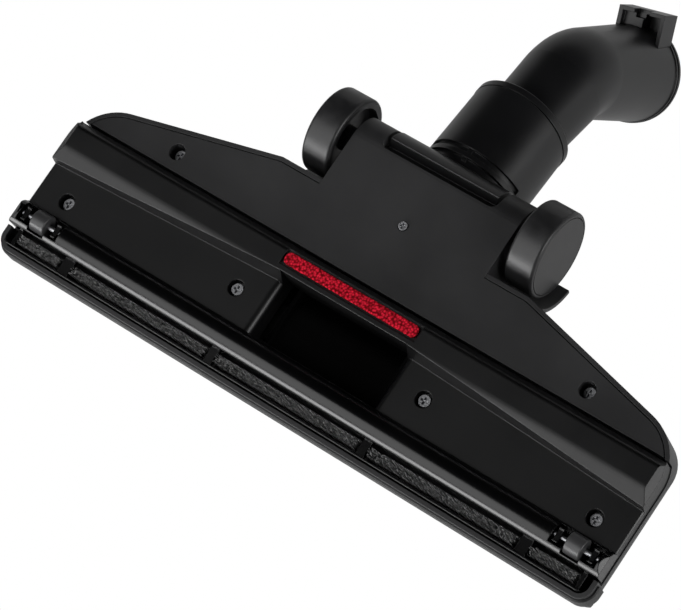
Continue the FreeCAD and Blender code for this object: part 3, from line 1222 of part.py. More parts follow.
def screw(name, x, y, seat, length, across="Sizes.head_diameter"):
    """A round-head screw with a cross recess, its head below the seat."""
    head_foot = "(" + seat + ") - Sizes.head_height"
    head = solid_of("Cylinder", name + "Head", x, y, head_foot,
                    Radius=across + " / 2", Height=at("head_height"))
    shank = solid_of("Cylinder", name + "Shank", x, y, seat, Radius="Sizes.shank / 2", Height=length)
    blank = doc.addObject("Part::Fuse", name + "Blank")
    blank.Base, blank.Tool = head, shank
    long_way, short_way = "0.66 * " + across, at("cross_width")
    bars = []
    for k, (wide, deep) in enumerate(((long_way, short_way), (short_way, long_way))):
        bars.append(solid_of("Box", name + "Bar%d" % k, x + " - " + wide + " / 2", y + " - " + deep + " / 2",
                             head_foot + " - 0.1", Length=wide, Width=deep, Height="0.6 * Sizes.head_height"))
    cross = doc.addObject("Part::Fuse", name + "Cross")
    cross.Base, cross.Tool = bars
    done = doc.addObject("Part::Cut", name)
    done.Base, done.Tool = blank, cross
    return done


def make_screws():
    """Four sole screws, two base plate screws and the short one in the middle."""
    seat = "Sizes.recess_top - Sizes.seat_thick"
    end_x, rear_x = from_end("screw_end"), from_end("screw_rear")
    groups = {
        "sole_screws": [(end_x, "0", seat, at("screw_length")),
                        ("-" + end_x, "0", seat, at("screw_length")),
                        ("Sizes.screw_inner", at("screw_inner_y"), seat, at("screw_length")),
                        ("-Sizes.screw_inner", at("screw_inner_y"), seat, at("screw_length"))],
        "base_plate_screws": [(rear_x, at("screw_rear_y"), seat, at("screw_length")),
                              ("-" + rear_x, at("screw_rear_y"), seat, at("screw_length"))],
        "centre_screw": [("0", at("screw_centre_y"), "Sizes.plate_level + Sizes.head_height - 0.6",
                          at("centre_screw_length"), at("centre_head"))],
    }
    for label, places in groups.items():
        screws = [screw("%s%d" % (label, k), *where) for k, where in enumerate(places)]
        group = doc.addObject("Part::Compound", label)
        group.Links = screws
        finish(group, label)


def make_brush():
    """Brush carrier with its push rod, and the five blocks of bristles under it."""
    body = new_body("brush_carrier")
    end = "(" + from_end("slot_end_end") + " - Sizes.bristle_play / 2)"
    front = "-(Sizes.slot_front - Sizes.fit_gap)"
    rear = "-(Sizes.slot_rear + Sizes.fit_gap)"
    bar = outline(body, "CarrierPlan", "XY_Plane", [
        ("-" + end, front), (end, front), (end, rear), ("-" + end, rear)], lift=at("carrier_bottom"))
    pad(body, bar, at("carrier_thick"))
    push = circles(body, "PushRodPlan", "XY_Plane", [
        ("0", "-(Sizes.slot_front + Sizes.slot_rear) / 2", "Sizes.push_rod / 2")],
        lift="Sizes.carrier_bottom + Sizes.carrier_thick")
    pedal_under = "Sizes.pedal_top - Sizes.pedal_thick - Sizes.fit_gap"
    pad(body, push, pedal_under + " - Sizes.carrier_bottom - Sizes.carrier_thick")
    crown = mm.pedal_top - mm.pedal_thick - mm.fit_gap
    soften(body, "0.42 * Sizes.push_rod",
           lambda edge: edge.BoundBox.ZLength < 0.01 and abs(edge.CenterOfMass.z - crown) < 0.01)
    finish(body, "brush_carrier")
    spans = [("-(Sizes.slot_centre_half - Sizes.bristle_play)",
              "2 * (Sizes.slot_centre_half - Sizes.bristle_play)")]
    for near, far in ((at("slot_middle_start"), from_end("slot_middle_end")),
                      (from_end("slot_end_start"), from_end("slot_end_end"))):
        length = "(" + far + " - " + near + " - 2 * Sizes.bristle_play)"
        spans.append((near + " + Sizes.bristle_play", length))
        spans.append(("-" + far + " + Sizes.bristle_play", length))
    blocks = []
    for k, (start, length) in enumerate(spans):
        blocks.append(solid_of(
            "Box", "Bristles%d" % k, start, "-" + at("bristle_front"), at("bristle_tip"),
            Length=length, Width="Sizes.bristle_front - Sizes.bristle_rear",
            Height="Sizes.carrier_bottom - Sizes.bristle_tip"))
    group = doc.addObject("Part::Compound", "bristle_blocks")
    group.Links = blocks
    finish(group, "bristle_blocks")


def make_lint_strip():
    """Velour strip in the pocket of the rear land."""
    body = new_body("lint_strip")
    wide = at("strip_half")
    plan = outline(body, "StripPlan", "XY_Plane", [
        ("-" + wide, at("strip_front")), (wide, at("strip_front")), (wide, at("strip_rear")),
        ("-" + wide, at("strip_rear"))], lift=at("strip_face"))
    pad(body, plan, at("strip_thick"))
    soften(body, "(Sizes.strip_rear - Sizes.strip_front) / 2.4", lambda edge: edge.BoundBox.ZLength > 1)
    finish(body, "lint_strip")


def make_pedal():
    """Foot pedal over the step of the deck, and the pin that it turns on."""
    body = new_body("foot_pedal")
    wide = at("pedal_half")
    front, rear = "-" + at("pedal_front"), "Sizes.pedal_hinge_y + 4"
    under = "Sizes.pedal_top - Sizes.pedal_thick"
    plan = outline(body, "PedalPlan", "XY_Plane", [
        ("-" + wide, front), (wide, front), (wide, rear), ("-" + wide, rear)], lift=under)
    pad(body, plan, at("pedal_thick"))
    wall = at("pedal_wall")
    for tag, sign in (("Left", ""), ("Right", "-")):
        skirt = outline(body, "PedalSkirt" + tag, "YZ_Plane", [
            (front, under + " - 2.4"), (rear, "Sizes.pedal_hinge_height - 2"), (rear, under), (front, under)],
            lift=sign + "(" + wide + " - " + wall + " / 2)")
        pad(body, skirt, wall, middle=True)
    face = outline(body, "PedalFront", "XY_Plane", [
        ("-" + wide, front), (wide, front),
        (wide, front + " + " + wall), ("-" + wide, front + " + " + wall)],
        lift=under + " - 2.4")
    pad(body, face, "2.4")
    for tag, sign in (("Left", ""), ("Right", "-")):
        boss = circles(body, "PedalBoss" + tag, "YZ_Plane",
                       [(at("pedal_hinge_y"), at("pedal_hinge_height"), "Sizes.pedal_pin / 2 + 1")],
                       lift=sign + "(Sizes.pedal_half - 3)")
        pad(body, boss, "5", middle=True)
    hole = circles(body, "PedalPinHole", "YZ_Plane",
                   [(at("pedal_hinge_y"), at("pedal_hinge_height"), "Sizes.pedal_pin / 2 + Sizes.run_play")])
    pocket(body, hole, "3 * Sizes.pedal_half", middle=True)
    finish(body, "foot_pedal")
    pin = new_body("pedal_pin")
    disc = circles(pin, "PedalPinDisc", "YZ_Plane",
                   [(at("pedal_hinge_y"), at("pedal_hinge_height"), "Sizes.pedal_pin / 2")])
    pad(pin, disc, "2 * Sizes.pedal_half - 2", middle=True)
    finish(pin, "pedal_pin")


make_top_housing()
make_sole_plate()
make_rear_base_plate()
make_front_bumper()
make_air_duct()
make_duct_seal()
make_screws()
make_brush()
make_lint_strip()
make_pedal()
for side_name, sign in SIDES:
    make_roller(side_name, sign)
    make_wheel(side_name, sign)
make_neck_knuckle()
make_swivel_collar()
make_swivel_seal()
make_elbow_pipe()
make_parking_hook()
doc.recompute()

# The origin goes under the middle of the part's length
boxes = [thing.Shape.optimalBoundingBox(False) for thing in sub_parts]
middle = (min(box.YMin for box in boxes) + max(box.YMax for box in boxes)) / 2
sheet.set(middle_cell, str(round(middle, 3)))
doc.recompute()
print("the origin lies", round(middle, 3), "mm behind the screw line")

for thing in doc.Objects:
    if "Invalid" in thing.State or "Error" in thing.State:
        raise RuntimeError(thing.Label + " failed")
for thing in sub_parts:
    if thing.Shape.isNull() or not thing.Shape.isValid():
        raise RuntimeError(thing.Label + " has no valid shape")

os.makedirs("parts", exist_ok=True)
for thing in sub_parts:
    thing.Shape.exportStep("parts/" + thing.Label + ".step")
    print(thing.Label, len(thing.Shape.Solids), "solids,", round(thing.Shape.Volume), "cubic mm")
print(len(sub_parts), "sub-parts")
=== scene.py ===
# %% [markdown]
# # Floor head of a vacuum cleaner, seen from below
# The solids of this floor head come from the construction model. They stay where they are and keep their shape.
# This lesson gives them the finish of the real mouldings, adds the bristles and the velour of the lint strip,
# and sets up a camera and a plain studio. All lengths are in metres, in the frame of the construction model.

# %% Load the frame
import json
import random

import bmesh
import bpy
from mathutils import Matrix, Vector, noise


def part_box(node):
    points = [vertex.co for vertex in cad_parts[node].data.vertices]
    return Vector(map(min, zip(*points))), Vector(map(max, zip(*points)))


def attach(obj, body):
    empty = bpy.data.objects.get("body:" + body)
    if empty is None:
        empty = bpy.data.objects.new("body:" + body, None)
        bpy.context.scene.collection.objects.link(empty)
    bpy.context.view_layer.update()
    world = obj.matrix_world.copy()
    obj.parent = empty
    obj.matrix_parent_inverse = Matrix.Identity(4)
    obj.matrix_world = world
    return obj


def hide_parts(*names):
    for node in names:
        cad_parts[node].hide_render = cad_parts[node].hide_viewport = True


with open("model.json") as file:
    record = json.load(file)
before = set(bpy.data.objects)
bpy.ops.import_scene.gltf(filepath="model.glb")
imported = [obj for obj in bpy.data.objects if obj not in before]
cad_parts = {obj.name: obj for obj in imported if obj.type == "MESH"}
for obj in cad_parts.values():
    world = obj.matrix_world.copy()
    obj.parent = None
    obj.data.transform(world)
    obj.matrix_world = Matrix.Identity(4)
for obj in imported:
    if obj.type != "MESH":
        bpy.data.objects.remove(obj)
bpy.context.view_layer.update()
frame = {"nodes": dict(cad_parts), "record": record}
nodes = frame["nodes"]
MM = 0.001

# %% [markdown]
# ## Camera
# The picture was taken from below the floor level with a long lens: the edges of the sole stay nearly parallel.
# Such a camera could be placed with a tracking constraint. Here its three axes are written down, because they
# were measured from the outline of the sole and don't move any more.

# %% Camera
CAMERA_PLACE = (-0.4661, -0.24165, -1.0739)     # metres
CAMERA_RIGHT = (-0.7918, 0.5544, 0.2562)        # direction of the picture's right side
CAMERA_BACK = (-0.3944, -0.1440, -0.9076)       # direction from the head to the camera
LENS = 166.6                                    # focal length for a sensor of 36 mm, in mm
camera_data = bpy.data.cameras.new("camera")
camera_data.sensor_fit = "HORIZONTAL"
camera_data.sensor_width = 36
camera_data.lens = LENS
camera = bpy.data.objects.new("camera", camera_data)
right = Vector(CAMERA_RIGHT).normalized()
back = Vector(CAMERA_BACK).normalized()
up = back.cross(right).normalized()
turn = Matrix((right, up, back)).transposed().to_4x4()
camera.matrix_world = Matrix.Translation(CAMERA_PLACE) @ turn
bpy.context.scene.collection.objects.link(camera)
bpy.context.scene.camera = camera
bpy.context.scene.view_settings.view_transform = "Standard"
print("camera looks along", [round(v, 3) for v in -back])

# %% [markdown]
# ## Colour and nodes
# Colours are written as they look on a screen, in hex, and one function turns them to the linear values that
# the shaders use. A second function adds a node, sets its values and links its inputs, so that each finish
# below reads as a short list of what lies on what.

# %% Helpers for materials


def linear(code):
    """The linear colour of an sRGB hex code."""
    parts = [int(code[k:k + 2], 16) / 255 for k in (1, 3, 5)]
    parts = [v / 12.92 if v <= 0.04045 else ((v + 0.055) / 1.055) ** 2.4 for v in parts]
    return (*parts, 1.0)


def add_node(tree, kind, inputs=None, **settings):
    """A new node: its settings, and for each input a value or the socket that feeds it."""
    node = tree.nodes.new(kind)
    for name, value in settings.items():
        setattr(node, name, value)
    for name, value in (inputs or {}).items():
        if isinstance(value, bpy.types.NodeSocket):
            tree.links.new(value, node.inputs[name])
        else:
            node.inputs[name].default_value = value
    return node


def new_material(name):
    """An empty node material with its output, and the coordinates of the piece itself."""
    material = bpy.data.materials.new(name)
    material.use_nodes = True
    tree = material.node_tree
    tree.nodes.clear()
    out = add_node(tree, "ShaderNodeOutputMaterial")
    place = add_node(tree, "ShaderNodeTexCoord").outputs["Object"]
    return material, tree, out, place


# %% [markdown]
# ## Moulded plastic
# The casing is ABS, moulded in a tool whose face was spark-eroded: a fine even grain that breaks up the
# light. The sole's tool was polished along the front bar, which glides on the floor, and only stoned in the
# bays and on the land, which look duller. The floor has drawn fine lines on both along the way they are pushed.
# The neck's tool was only sanded: the same black, but smoother, so that its round walls show soft bright bands.
# One function makes all these plastics, from grain size, height and roughness; in front of the line at
# polished_to the roughness drops to that of the polished bar. A Bevel node rounds the moulded edges in the
# shading, as every edge of a tool has a small radius. The duct behind the mouth is the same plastic without
# any polish, but nearly black and with almost no shine: painted shade for the deep mouth, which looks black.

# %% Plastic


def moulded_plastic(name, colour, worn, roughness, grain, height, edge, streaks=0.0, polished_to=None, shine=0.5):
    """Moulded plastic. The size of its grain, the grain's height and the edge radius are in mm."""
    material, tree, out, place = new_material(name)
    fine = add_node(tree, "ShaderNodeTexNoise", {"Vector": place, "Scale": 1000 / grain, "Detail": 2.0})
    broad = add_node(tree, "ShaderNodeTexNoise", {"Vector": place, "Scale": 1000 / 45, "Detail": 4.0,
                                                  "Roughness": 0.6})
    pushed = add_node(tree, "ShaderNodeMapping", {"Vector": place, "Scale": (1000 / 0.9, 1000 / 60, 1000 / 8)})
    lines = add_node(tree, "ShaderNodeTexNoise", {"Vector": pushed.outputs["Vector"], "Scale": 1.0, "Detail": 3.0})
    tone = add_node(tree, "ShaderNodeMapRange", {"Value": broad.outputs["Fac"], "From Min": 0.35, "From Max": 0.75})
    shade = add_node(tree, "ShaderNodeMix", {0: tone.outputs["Result"], 6: linear(colour), 7: linear(worn)},
                     data_type="RGBA")
    rough = add_node(tree, "ShaderNodeMapRange", {"Value": broad.outputs["Fac"], "From Min": 0.3, "From Max": 0.7,
                                                  "To Min": roughness - 0.04, "To Max": roughness + 0.05})
    drawn = add_node(tree, "ShaderNodeMath", {0: lines.outputs["Fac"], 1: streaks, 2: rough.outputs["Result"]},
                     operation="MULTIPLY_ADD")
    final = drawn.outputs["Value"]
    if polished_to is not None:
        parts = add_node(tree, "ShaderNodeSeparateXYZ", {"Vector": place})
        glide = add_node(tree, "ShaderNodeMapRange", {
            "Value": parts.outputs["Y"], "From Min": polished_to - 0.4 * MM, "From Max": polished_to + 0.4 * MM,
            "To Min": 0.55, "To Max": 1.0})
        final = add_node(tree, "ShaderNodeMath", {0: final, 1: glide.outputs["Result"]},
                         operation="MULTIPLY").outputs["Value"]
    rounded = add_node(tree, "ShaderNodeBevel", {"Radius": edge * MM}, samples=6)
    bump = add_node(tree, "ShaderNodeBump", {"Height": fine.outputs["Fac"], "Strength": 1.0,
                                             "Distance": height * MM, "Normal": rounded.outputs["Normal"]})
    shader = add_node(tree, "ShaderNodeBsdfPrincipled", {
        "Base Color": shade.outputs[2], "Roughness": final, "IOR": 1.53, "Specular IOR Level": shine,
        "Normal": bump.outputs["Normal"]})
    tree.links.new(shader.outputs["BSDF"], out.inputs["Surface"])
    return material


BAR_DEPTH = 19.3 * MM      # from the sole's front edge to the bays
bay_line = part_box("sole_plate")[0].y + BAR_DEPTH
casing_abs = moulded_plastic("abs_moulded_charcoal_eroded", "#272728", "#323233", roughness=0.46,
                             grain=0.7, height=0.02, edge=0.4)
neck_abs = moulded_plastic("abs_moulded_black_satin_neck", "#111112", "#18181a", roughness=0.34,
                           grain=0.6, height=0.008, edge=0.4)
sole_abs = moulded_plastic("abs_moulded_black_sole", "#070708", "#0c0c0d", roughness=0.34,
                           grain=0.9, height=0.006, edge=0.5, streaks=0.10, polished_to=bay_line)
wheel_pp = moulded_plastic("polypropylene_dark_grey_satin", "#161617", "#1e1e1f", roughness=0.34,
                           grain=0.9, height=0.008, edge=0.3)
roller_pom = moulded_plastic("acetal_mid_grey_satin", "#3a3a3b", "#474748", roughness=0.34,
                             grain=0.9, height=0.006, edge=0.3)
# Painted shade: the duct is painted nearly black and its shine is almost taken away, so that the deep mouth looks
# black.
duct_abs_painted_shade = moulded_plastic("abs_duct_painted_shade", "#020202", "#040404", roughness=0.8,
                           grain=1.2, height=0.01, edge=0.3, shine=0.08)
print("plastics", casing_abs.name, neck_abs.name, sole_abs.name, wheel_pp.name, roller_pom.name)

# %% [markdown]
# ## Rubber
# The wheels' treads and the front strip are thermoplastic rubber. It looks drier than the casing: a broad
# dull highlight, a little dust and rubbed patches a few millimetres wide.

# %% Rubber


def moulded_rubber(name, colour, dusty, roughness):
    """Soft rubber with faint dust and smudges."""
    material, tree, out, place = new_material(name)
    smudge = add_node(tree, "ShaderNodeTexNoise", {"Vector": place, "Scale": 1000 / 9, "Detail": 5.0,
                                                   "Roughness": 0.65})
    skin = add_node(tree, "ShaderNodeTexNoise", {"Vector": place, "Scale": 1000 / 0.8, "Detail": 2.0})
    tone = add_node(tree, "ShaderNodeMapRange", {"Value": smudge.outputs["Fac"], "From Min": 0.4, "From Max": 0.75})
    shade = add_node(tree, "ShaderNodeMix", {0: tone.outputs["Result"], 6: linear(colour), 7: linear(dusty)},
                     data_type="RGBA")
    rough = add_node(tree, "ShaderNodeMapRange", {"Value": smudge.outputs["Fac"], "From Min": 0.3, "From Max": 0.7,
                                                  "To Min": roughness - 0.07, "To Max": roughness + 0.06})
    rounded = add_node(tree, "ShaderNodeBevel", {"Radius": 0.3 * MM}, samples=6)
    bump = add_node(tree, "ShaderNodeBump", {"Height": skin.outputs["Fac"], "Strength": 1.0,
                                             "Distance": 0.01 * MM, "Normal": rounded.outputs["Normal"]})
    shader = add_node(tree, "ShaderNodeBsdfPrincipled", {
        "Base Color": shade.outputs[2], "Roughness": rough.outputs["Result"], "IOR": 1.5,
        "Normal": bump.outputs["Normal"]})
    tree.links.new(shader.outputs["BSDF"], out.inputs["Surface"])
    return material


strip_tpe = moulded_rubber("soft_rubber_black_matt", "#0e0e0f", "#171718", roughness=0.5)
tread_tpe = moulded_rubber("soft_rubber_grey_satin", "#262627", "#333334", roughness=0.38)
print("rubbers", strip_tpe.name, tread_tpe.name)

# %% [markdown]
# ## Steel
# Screws and axles are zinc-plated steel. The plating is bright and slightly bluish, and the cold forming
# of the heads leaves fine mottling of a few tenths of a millimetre.

# %% Steel


def plated_steel(name):
    """Zinc-plated steel, a metal with fine mottling."""
    material, tree, out, place = new_material(name)
    mottle = add_node(tree, "ShaderNodeTexNoise", {"Vector": place, "Scale": 1000 / 0.9, "Detail": 4.0})
    shade = add_node(tree, "ShaderNodeMix", {0: mottle.outputs["Fac"], 6: linear("#8c8d90"), 7: linear("#dcdde0")},
                     data_type="RGBA")
    rough = add_node(tree, "ShaderNodeMapRange", {"Value": mottle.outputs["Fac"], "To Min": 0.3, "To Max": 0.6})
    rounded = add_node(tree, "ShaderNodeBevel", {"Radius": 0.15 * MM}, samples=6)
    bump = add_node(tree, "ShaderNodeBump", {"Height": mottle.outputs["Fac"], "Strength": 1.0,
                                             "Distance": 0.05 * MM, "Normal": rounded.outputs["Normal"]})
    shader = add_node(tree, "ShaderNodeBsdfPrincipled", {
        "Base Color": shade.outputs[2], "Roughness": rough.outputs["Result"], "Metallic": 1.0,
        "Normal": bump.outputs["Normal"]})
    tree.links.new(shader.outputs["BSDF"], out.inputs["Surface"])
    return material


zinc_steel = plated_steel("steel_zinc_plated")
print("steel", zinc_steel.name)

# %% [markdown]
# ## Dress the solids
# Each solid carries the name of its material slot in the record. The finish is put into the solid's own slots,
# so its mesh stays untouched. The duct and the pieces of the neck share the casing's slot name but were made
# in other tools, so they get their own finish by their names; the duct's finish is painted nearly black, as
# painted shade for the deep mouth.

# %% Dress the solids
FINISHES = {"housing_black": casing_abs, "sole_black": sole_abs, "wheel_grey": wheel_pp,
            "roller_grey": roller_pom, "soft_black": strip_tpe, "tread_grey": tread_tpe, "steel": zinc_steel}
for entry in frame["record"]["subparts"]:
    finish = FINISHES.get(entry["material_slot"])
    if finish is not None:
        for slot in nodes[entry["node"]].material_slots:
            slot.material = finish
# The duct's finish carries painted shade for the deep mouth.
for name, finish in (("air_duct", duct_abs_painted_shade), ("neck_knuckle", neck_abs), ("swivel_collar", neck_abs),
                     ("elbow_pipe", neck_abs), ("parking_hook", neck_abs)):
    for slot in nodes[name].material_slots:
        slot.material = finish

# %% [markdown]
# ## Bristles
# The brush is five rows of nylon bristles, clamped in the carrier. A solid block with a hairy picture on it
# would show a smooth outline, so each bristle is a slim three-sided cone. They are punched in as clumps of
# nearly the same length and lean a little at random, as worn bristles do. Six different clumps are made once
# and set side by side along the rows.

# %% Bristles
row_low, row_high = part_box("bristle_blocks")
ROWS = [(-33.1, 33.1), (39.9, 105.3), (113.3, 132.3), (-105.3, -39.9), (-132.3, -113.3)]   # ends of the rows, mm
CLUMP = 4.0 * MM                # length of a clump along its row
LINES = 7                       # lines of bristles across a row
TIP, ROOT = 0.13 * MM, 0.2 * MM    # radii of a bristle
STEP = (0.42, 0.62)             # from one bristle to the next, mm
WORN_OFF = 0.7                  # the most that a bristle has lost, mm
deep, tall = row_high.y - row_low.y, row_high.z - row_low.z
chance = random.Random(11)


def bristle_clump(name):
    """A clump of bristles that hang from the level 0, its near corner at the origin."""
    clump = bmesh.new()
    for line in range(LINES):
        y = 0.3 * MM + line * (deep - 0.6 * MM) / (LINES - 1)
        x = 0.15 * MM + 0.25 * MM * (line % 2)
        while x < CLUMP:
            length = tall - chance.uniform(0.0, WORN_OFF) * MM
            made = bmesh.ops.create_cone(clump, cap_ends=True, segments=3, radius1=TIP, radius2=ROOT,
                                         depth=length)["verts"]
            lean = Matrix.Rotation(chance.gauss(0, 0.03), 4, "X") @ Matrix.Rotation(chance.gauss(0, 0.05), 4, "Y")
            stand = Matrix.Translation((x, y, 0)) @ lean @ Matrix.Translation((0, 0, -length / 2))
            bmesh.ops.transform(clump, matrix=stand, verts=made)
            x += chance.uniform(*STEP) * MM
    mesh = bpy.data.meshes.new(name)
    clump.to_mesh(mesh)
    clump.free()
    return mesh


clumps = [bristle_clump("clump_%d" % k) for k in range(6)]
rows = bmesh.new()
for start, end in ROWS:
    count = round((end - start) * MM / CLUMP)
    for k in range(count):
        before = len(rows.verts)
        rows.from_mesh(chance.choice(clumps))
        rows.verts.ensure_lookup_table()
        corner = (start * MM + k * (end - start) * MM / count, row_low.y, row_high.z)
        bmesh.ops.translate(rows, verts=rows.verts[before:], vec=corner)
for vertex in rows.verts:
    vertex.co.y = min(max(vertex.co.y, row_low.y), row_high.y)
    vertex.co.x = min(max(vertex.co.x, row_low.x), row_high.x)
bristle_mesh = bpy.data.meshes.new("bristle_rows")
rows.to_mesh(bristle_mesh)
rows.free()
bristle_rows = bpy.data.objects.new("bristle_rows", bristle_mesh)
bpy.context.scene.collection.objects.link(bristle_rows)
print("bristles", len(bristle_mesh.polygons) // 5)

# %% Finish of the bristles
nylon, tree, out, place = new_material("nylon_bristle_dark_grey")
hair = add_node(tree, "ShaderNodeTexNoise", {"Vector": place, "Scale": 1000 / 1.1, "Detail": 2.0})
tone = add_node(tree, "ShaderNodeMapRange", {"Value": hair.outputs["Fac"], "From Min": 0.35, "From Max": 0.65})
shade = add_node(tree, "ShaderNodeMix", {0: tone.outputs["Result"], 6: linear("#303030"), 7: linear("#d0d0d0")},
                 data_type="RGBA")
shader = add_node(tree, "ShaderNodeBsdfPrincipled", {"Base Color": shade.outputs[2], "Roughness": 0.5, "IOR": 1.53})
tree.links.new(shader.outputs["BSDF"], out.inputs["Surface"])
bristle_mesh.materials.append(nylon)
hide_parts("bristle_blocks")
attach(bristle_rows, "brush")
print("bristles wear", nylon.name)

# %% [markdown]
# ## Lint strip
# Behind the mouth lies a strip of red velour with a dense short pile. The pile stands in small tufts about a
# millimetre wide, so its surface is lumpy and its edge is soft. The strip is a rounded bar, cut into small
# faces, whose points are moved by a noise of that size. Its red is painted lighter in the middle of each tuft
# and darker at its rim: painted light on the tufts' tops and painted shade between them.

# %% Lint strip
END_RADIUS = 2.2 * MM           # round ends of the strip
EDGE_RADIUS = 0.6 * MM          # soft edge of the pile
TUFT, FIBRE = 1.1, 0.5          # size of the lumps and of the fine fibres, mm
SUNK, SWAY = 0.22, 0.3          # the pile lies this much lower on average, and varies by this much, mm
low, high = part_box("lint_strip")
middle = (low + high) / 2
size = high - low
pile = bmesh.new()
bmesh.ops.create_cube(pile, size=1.0, matrix=Matrix.Translation(middle) @ Matrix.Diagonal((*size, 1)))
corners = [edge for edge in pile.edges if abs(edge.verts[0].co.z - edge.verts[1].co.z) > 0.001]
bmesh.ops.bevel(pile, geom=corners, offset=END_RADIUS, segments=8, profile=0.5, affect="EDGES", material=-1)
rims = [edge for edge in pile.edges if abs(edge.verts[0].co.z - edge.verts[1].co.z) < 0.0001
        and edge.verts[0].co.z < middle.z and len(edge.link_faces) == 2
        and any(abs(face.normal.z) < 0.5 for face in edge.link_faces)]
bmesh.ops.bevel(pile, geom=rims, offset=EDGE_RADIUS, segments=4, profile=0.5, affect="EDGES", material=-1)
pile_mesh = bpy.data.meshes.new("lint_velour")
pile.to_mesh(pile_mesh)
pile.free()
lint_velour = bpy.data.objects.new("lint_velour", pile_mesh)
bpy.context.scene.collection.objects.link(lint_velour)
remesh = lint_velour.modifiers.new("small faces", "REMESH")
remesh.mode = "VOXEL"
remesh.voxel_size = 0.3 * MM
remesh.use_smooth_shade = True
shown = lint_velour.evaluated_get(bpy.context.evaluated_depsgraph_get())
pile_mesh = bpy.data.meshes.new_from_object(shown)
lint_velour.modifiers.clear()
lint_velour.data = pile_mesh
for vertex in pile_mesh.vertices:
    lump = noise.noise(vertex.co * 1000 / TUFT) * 0.7 + noise.noise(vertex.co * 1000 / FIBRE) * 0.3
    vertex.co = vertex.co - vertex.normal * (SUNK - SWAY * lump) * MM
for vertex in pile_mesh.vertices:
    vertex.co = [min(max(vertex.co[k], low[k]), high[k]) for k in range(3)]
print("lint strip", len(pile_mesh.polygons), "faces")

# %% Finish of the velour
velour, tree, out, place = new_material("velour_pile_red")
# Painted light and shade: bright red in the middle of each tuft and dark red towards its rim, as lit tuft tops and
# shade in the hollows between them.
tuft_painted_light_and_shade = add_node(tree, "ShaderNodeTexVoronoi", {"Vector": place, "Scale": 1000 / 1.0}, feature="F1")
fibre = add_node(tree, "ShaderNodeTexNoise", {"Vector": place, "Scale": 1000 / 0.5, "Detail": 3.0})
tone = add_node(tree, "ShaderNodeMapRange", {"Value": tuft_painted_light_and_shade.outputs["Distance"], "From Min": 0.1, "From Max": 0.7})
shade = add_node(tree, "ShaderNodeMix", {0: tone.outputs["Result"], 6: linear("#fa2440"), 7: linear("#6c0008")},
                 data_type="RGBA")
bump = add_node(tree, "ShaderNodeBump", {"Height": fibre.outputs["Fac"], "Strength": 1.0, "Distance": 0.15 * MM})
shader = add_node(tree, "ShaderNodeBsdfPrincipled", {
    "Base Color": shade.outputs[2], "Roughness": 0.9, "Sheen Weight": 0.15, "Sheen Roughness": 0.4,
    "Sheen Tint": linear("#ff2020"), "Specular IOR Level": 0.1, "Normal": bump.outputs["Normal"]})
tree.links.new(shader.outputs["BSDF"], out.inputs["Surface"])
pile_mesh.materials.clear()
pile_mesh.materials.append(velour)
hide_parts("lint_strip")
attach(lint_velour, "head")
print("lint strip wears", velour.name)

# %% [markdown]
# ## Floor
# Seen from above, the head stands on a plain pale floor. The picture looks up from below it, so the floor is
# there only for camera rays that come from above: for all others, and for the lamps, it is clear. It glows a
# little for the camera alone, so that it stays pale far away, where the lamps don't reach.

# %% Floor
floor_form = bmesh.new()
bmesh.ops.create_grid(floor_form, x_segments=1, y_segments=1, size=6.0)
floor_mesh = bpy.data.meshes.new("floor")
floor_form.to_mesh(floor_mesh)
floor_form.free()
floor = bpy.data.objects.new("floor", floor_mesh)
bpy.context.scene.collection.objects.link(floor)
paint, tree, out = new_material("floor_paint_pale")[:3]
facing = add_node(tree, "ShaderNodeNewGeometry").outputs["Backfacing"]
ray = add_node(tree, "ShaderNodeLightPath").outputs["Is Camera Ray"]
front = add_node(tree, "ShaderNodeMath", {0: 1.0, 1: facing}, operation="SUBTRACT")
there = add_node(tree, "ShaderNodeMath", {0: front.outputs["Value"], 1: ray}, operation="MULTIPLY")
pale = add_node(tree, "ShaderNodeBsdfDiffuse", {"Color": linear("#b4b4b4")})
glow = add_node(tree, "ShaderNodeEmission", {"Color": linear("#ffffff"), "Strength": 0.42})
both = add_node(tree, "ShaderNodeAddShader", {0: pale.outputs["BSDF"], 1: glow.outputs["Emission"]})
clear = add_node(tree, "ShaderNodeBsdfTransparent")
mixed = add_node(tree, "ShaderNodeMixShader", {0: there.outputs["Value"], 1: clear.outputs["BSDF"],
                                               2: both.outputs["Shader"]})
tree.links.new(mixed.outputs["Shader"], out.inputs["Surface"])
floor_mesh.materials.append(paint)
print("floor", paint.name)

# %% [markdown]
# ## Light
# The head was photographed on its back on a white table, so in this frame the white table lies above it: the
# walls and the elbow mirror a broad pale plane there. A soft box below the front edge draws the highlight
# along the bar, a flat one in front gives its bright edge, and one at the right end catches the lips and the
# edges that face it. Two more above light the deck, which only other views show. The lower lamps stand wholly
# below the floor's level, so that no view from above shows them. The world is white where the camera sees it,
# directly, mirrored or through clear pieces.
# A large black card lies far below the head, as a photographer's flag. Only mirrored rays see it, and it
# keeps the bays and the land deep black, since those surfaces mirror the dark room under the camera. The white
# table above is such a surface too: a plane that only mirrored rays see, lit by the lamps below it.

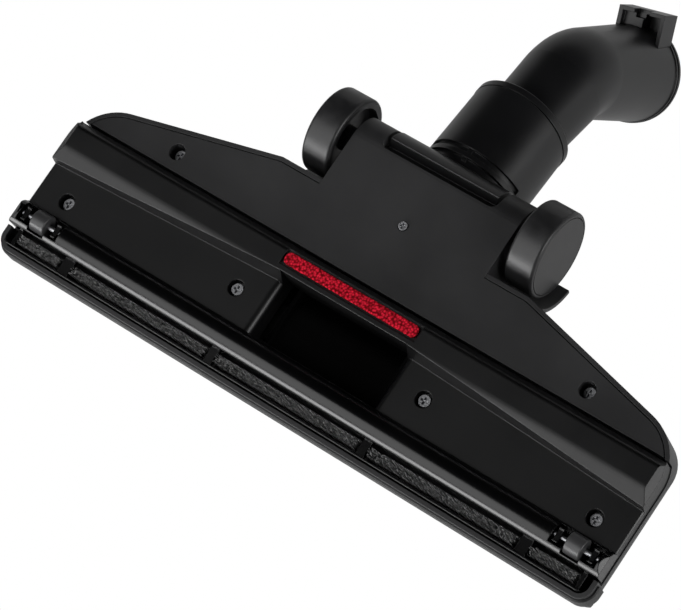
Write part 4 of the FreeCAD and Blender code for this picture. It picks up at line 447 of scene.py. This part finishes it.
# %% World
world = bpy.data.worlds.new("studio")
bpy.context.scene.world = world
world.use_nodes = True
tree = world.node_tree
tree.nodes.clear()
path = add_node(tree, "ShaderNodeLightPath")
seen = add_node(tree, "ShaderNodeMath", {0: path.outputs["Is Camera Ray"], 1: path.outputs["Is Transmission Ray"]},
                operation="MAXIMUM")
mirrored = add_node(tree, "ShaderNodeMath", {0: seen.outputs["Value"], 1: path.outputs["Is Glossy Ray"]},
                    operation="MAXIMUM")
level = add_node(tree, "ShaderNodeMapRange", {"Value": mirrored.outputs["Value"], "To Min": 0.15, "To Max": 1.0})
glow = add_node(tree, "ShaderNodeBackground", {"Color": (1, 1, 1, 1), "Strength": level.outputs["Result"]})
add_node(tree, "ShaderNodeOutputWorld", {"Surface": glow.outputs["Background"]})
print("world", world.name)

# %% Black card and white table


def mirrored_plane(name, height, colour):
    """A wide level plane that only mirrored rays see."""
    form = bmesh.new()
    bmesh.ops.create_grid(form, x_segments=1, y_segments=1, size=20.0, matrix=Matrix.Translation((0, 0, height)))
    mesh = bpy.data.meshes.new(name)
    form.to_mesh(mesh)
    form.free()
    plane = bpy.data.objects.new(name, mesh)
    bpy.context.scene.collection.objects.link(plane)
    material, tree, out = new_material("matt_" + name)[:3]
    ray = add_node(tree, "ShaderNodeLightPath").outputs["Is Glossy Ray"]
    matt = add_node(tree, "ShaderNodeBsdfDiffuse", {"Color": linear(colour)})
    clear = add_node(tree, "ShaderNodeBsdfTransparent")
    mixed = add_node(tree, "ShaderNodeMixShader", {0: ray, 1: clear.outputs["BSDF"], 2: matt.outputs["BSDF"]})
    tree.links.new(mixed.outputs["Shader"], out.inputs["Surface"])
    mesh.materials.append(material)
    print("plane", name, "at", height)


mirrored_plane("black_card", -1.8, "#060606")
mirrored_plane("white_table", 0.16, "#e6e6e6")

# %% Lamps


def soft_box(name, place, size, power):
    """A large lamp that looks at the middle of the head."""
    data = bpy.data.lights.new(name, "AREA")
    data.shape = "RECTANGLE"
    data.size, data.size_y = size
    data.energy = power
    lamp = bpy.data.objects.new(name, data)
    lamp.location = place
    lamp.rotation_euler = (Vector((0, -0.01, 0.03)) - Vector(place)).to_track_quat("-Z", "Y").to_euler()
    bpy.context.scene.collection.objects.link(lamp)


soft_box("box_above", (-0.15, 0.0, 0.9), size=(1.6, 1.6), power=12)
soft_box("box_below_front", (0.42, -0.64, -1.0), size=(1.0, 1.0), power=6)
soft_box("box_front", (0.45, -1.2, -0.32), size=(1.2, 0.4), power=12)
soft_box("box_right", (-1.3, 0.1, -0.4), size=(0.8, 0.5), power=7)
soft_box("box_above_front", (0.6, -0.9, 0.7), size=(0.9, 0.6), power=4)
print("lamps", len(bpy.data.lights))
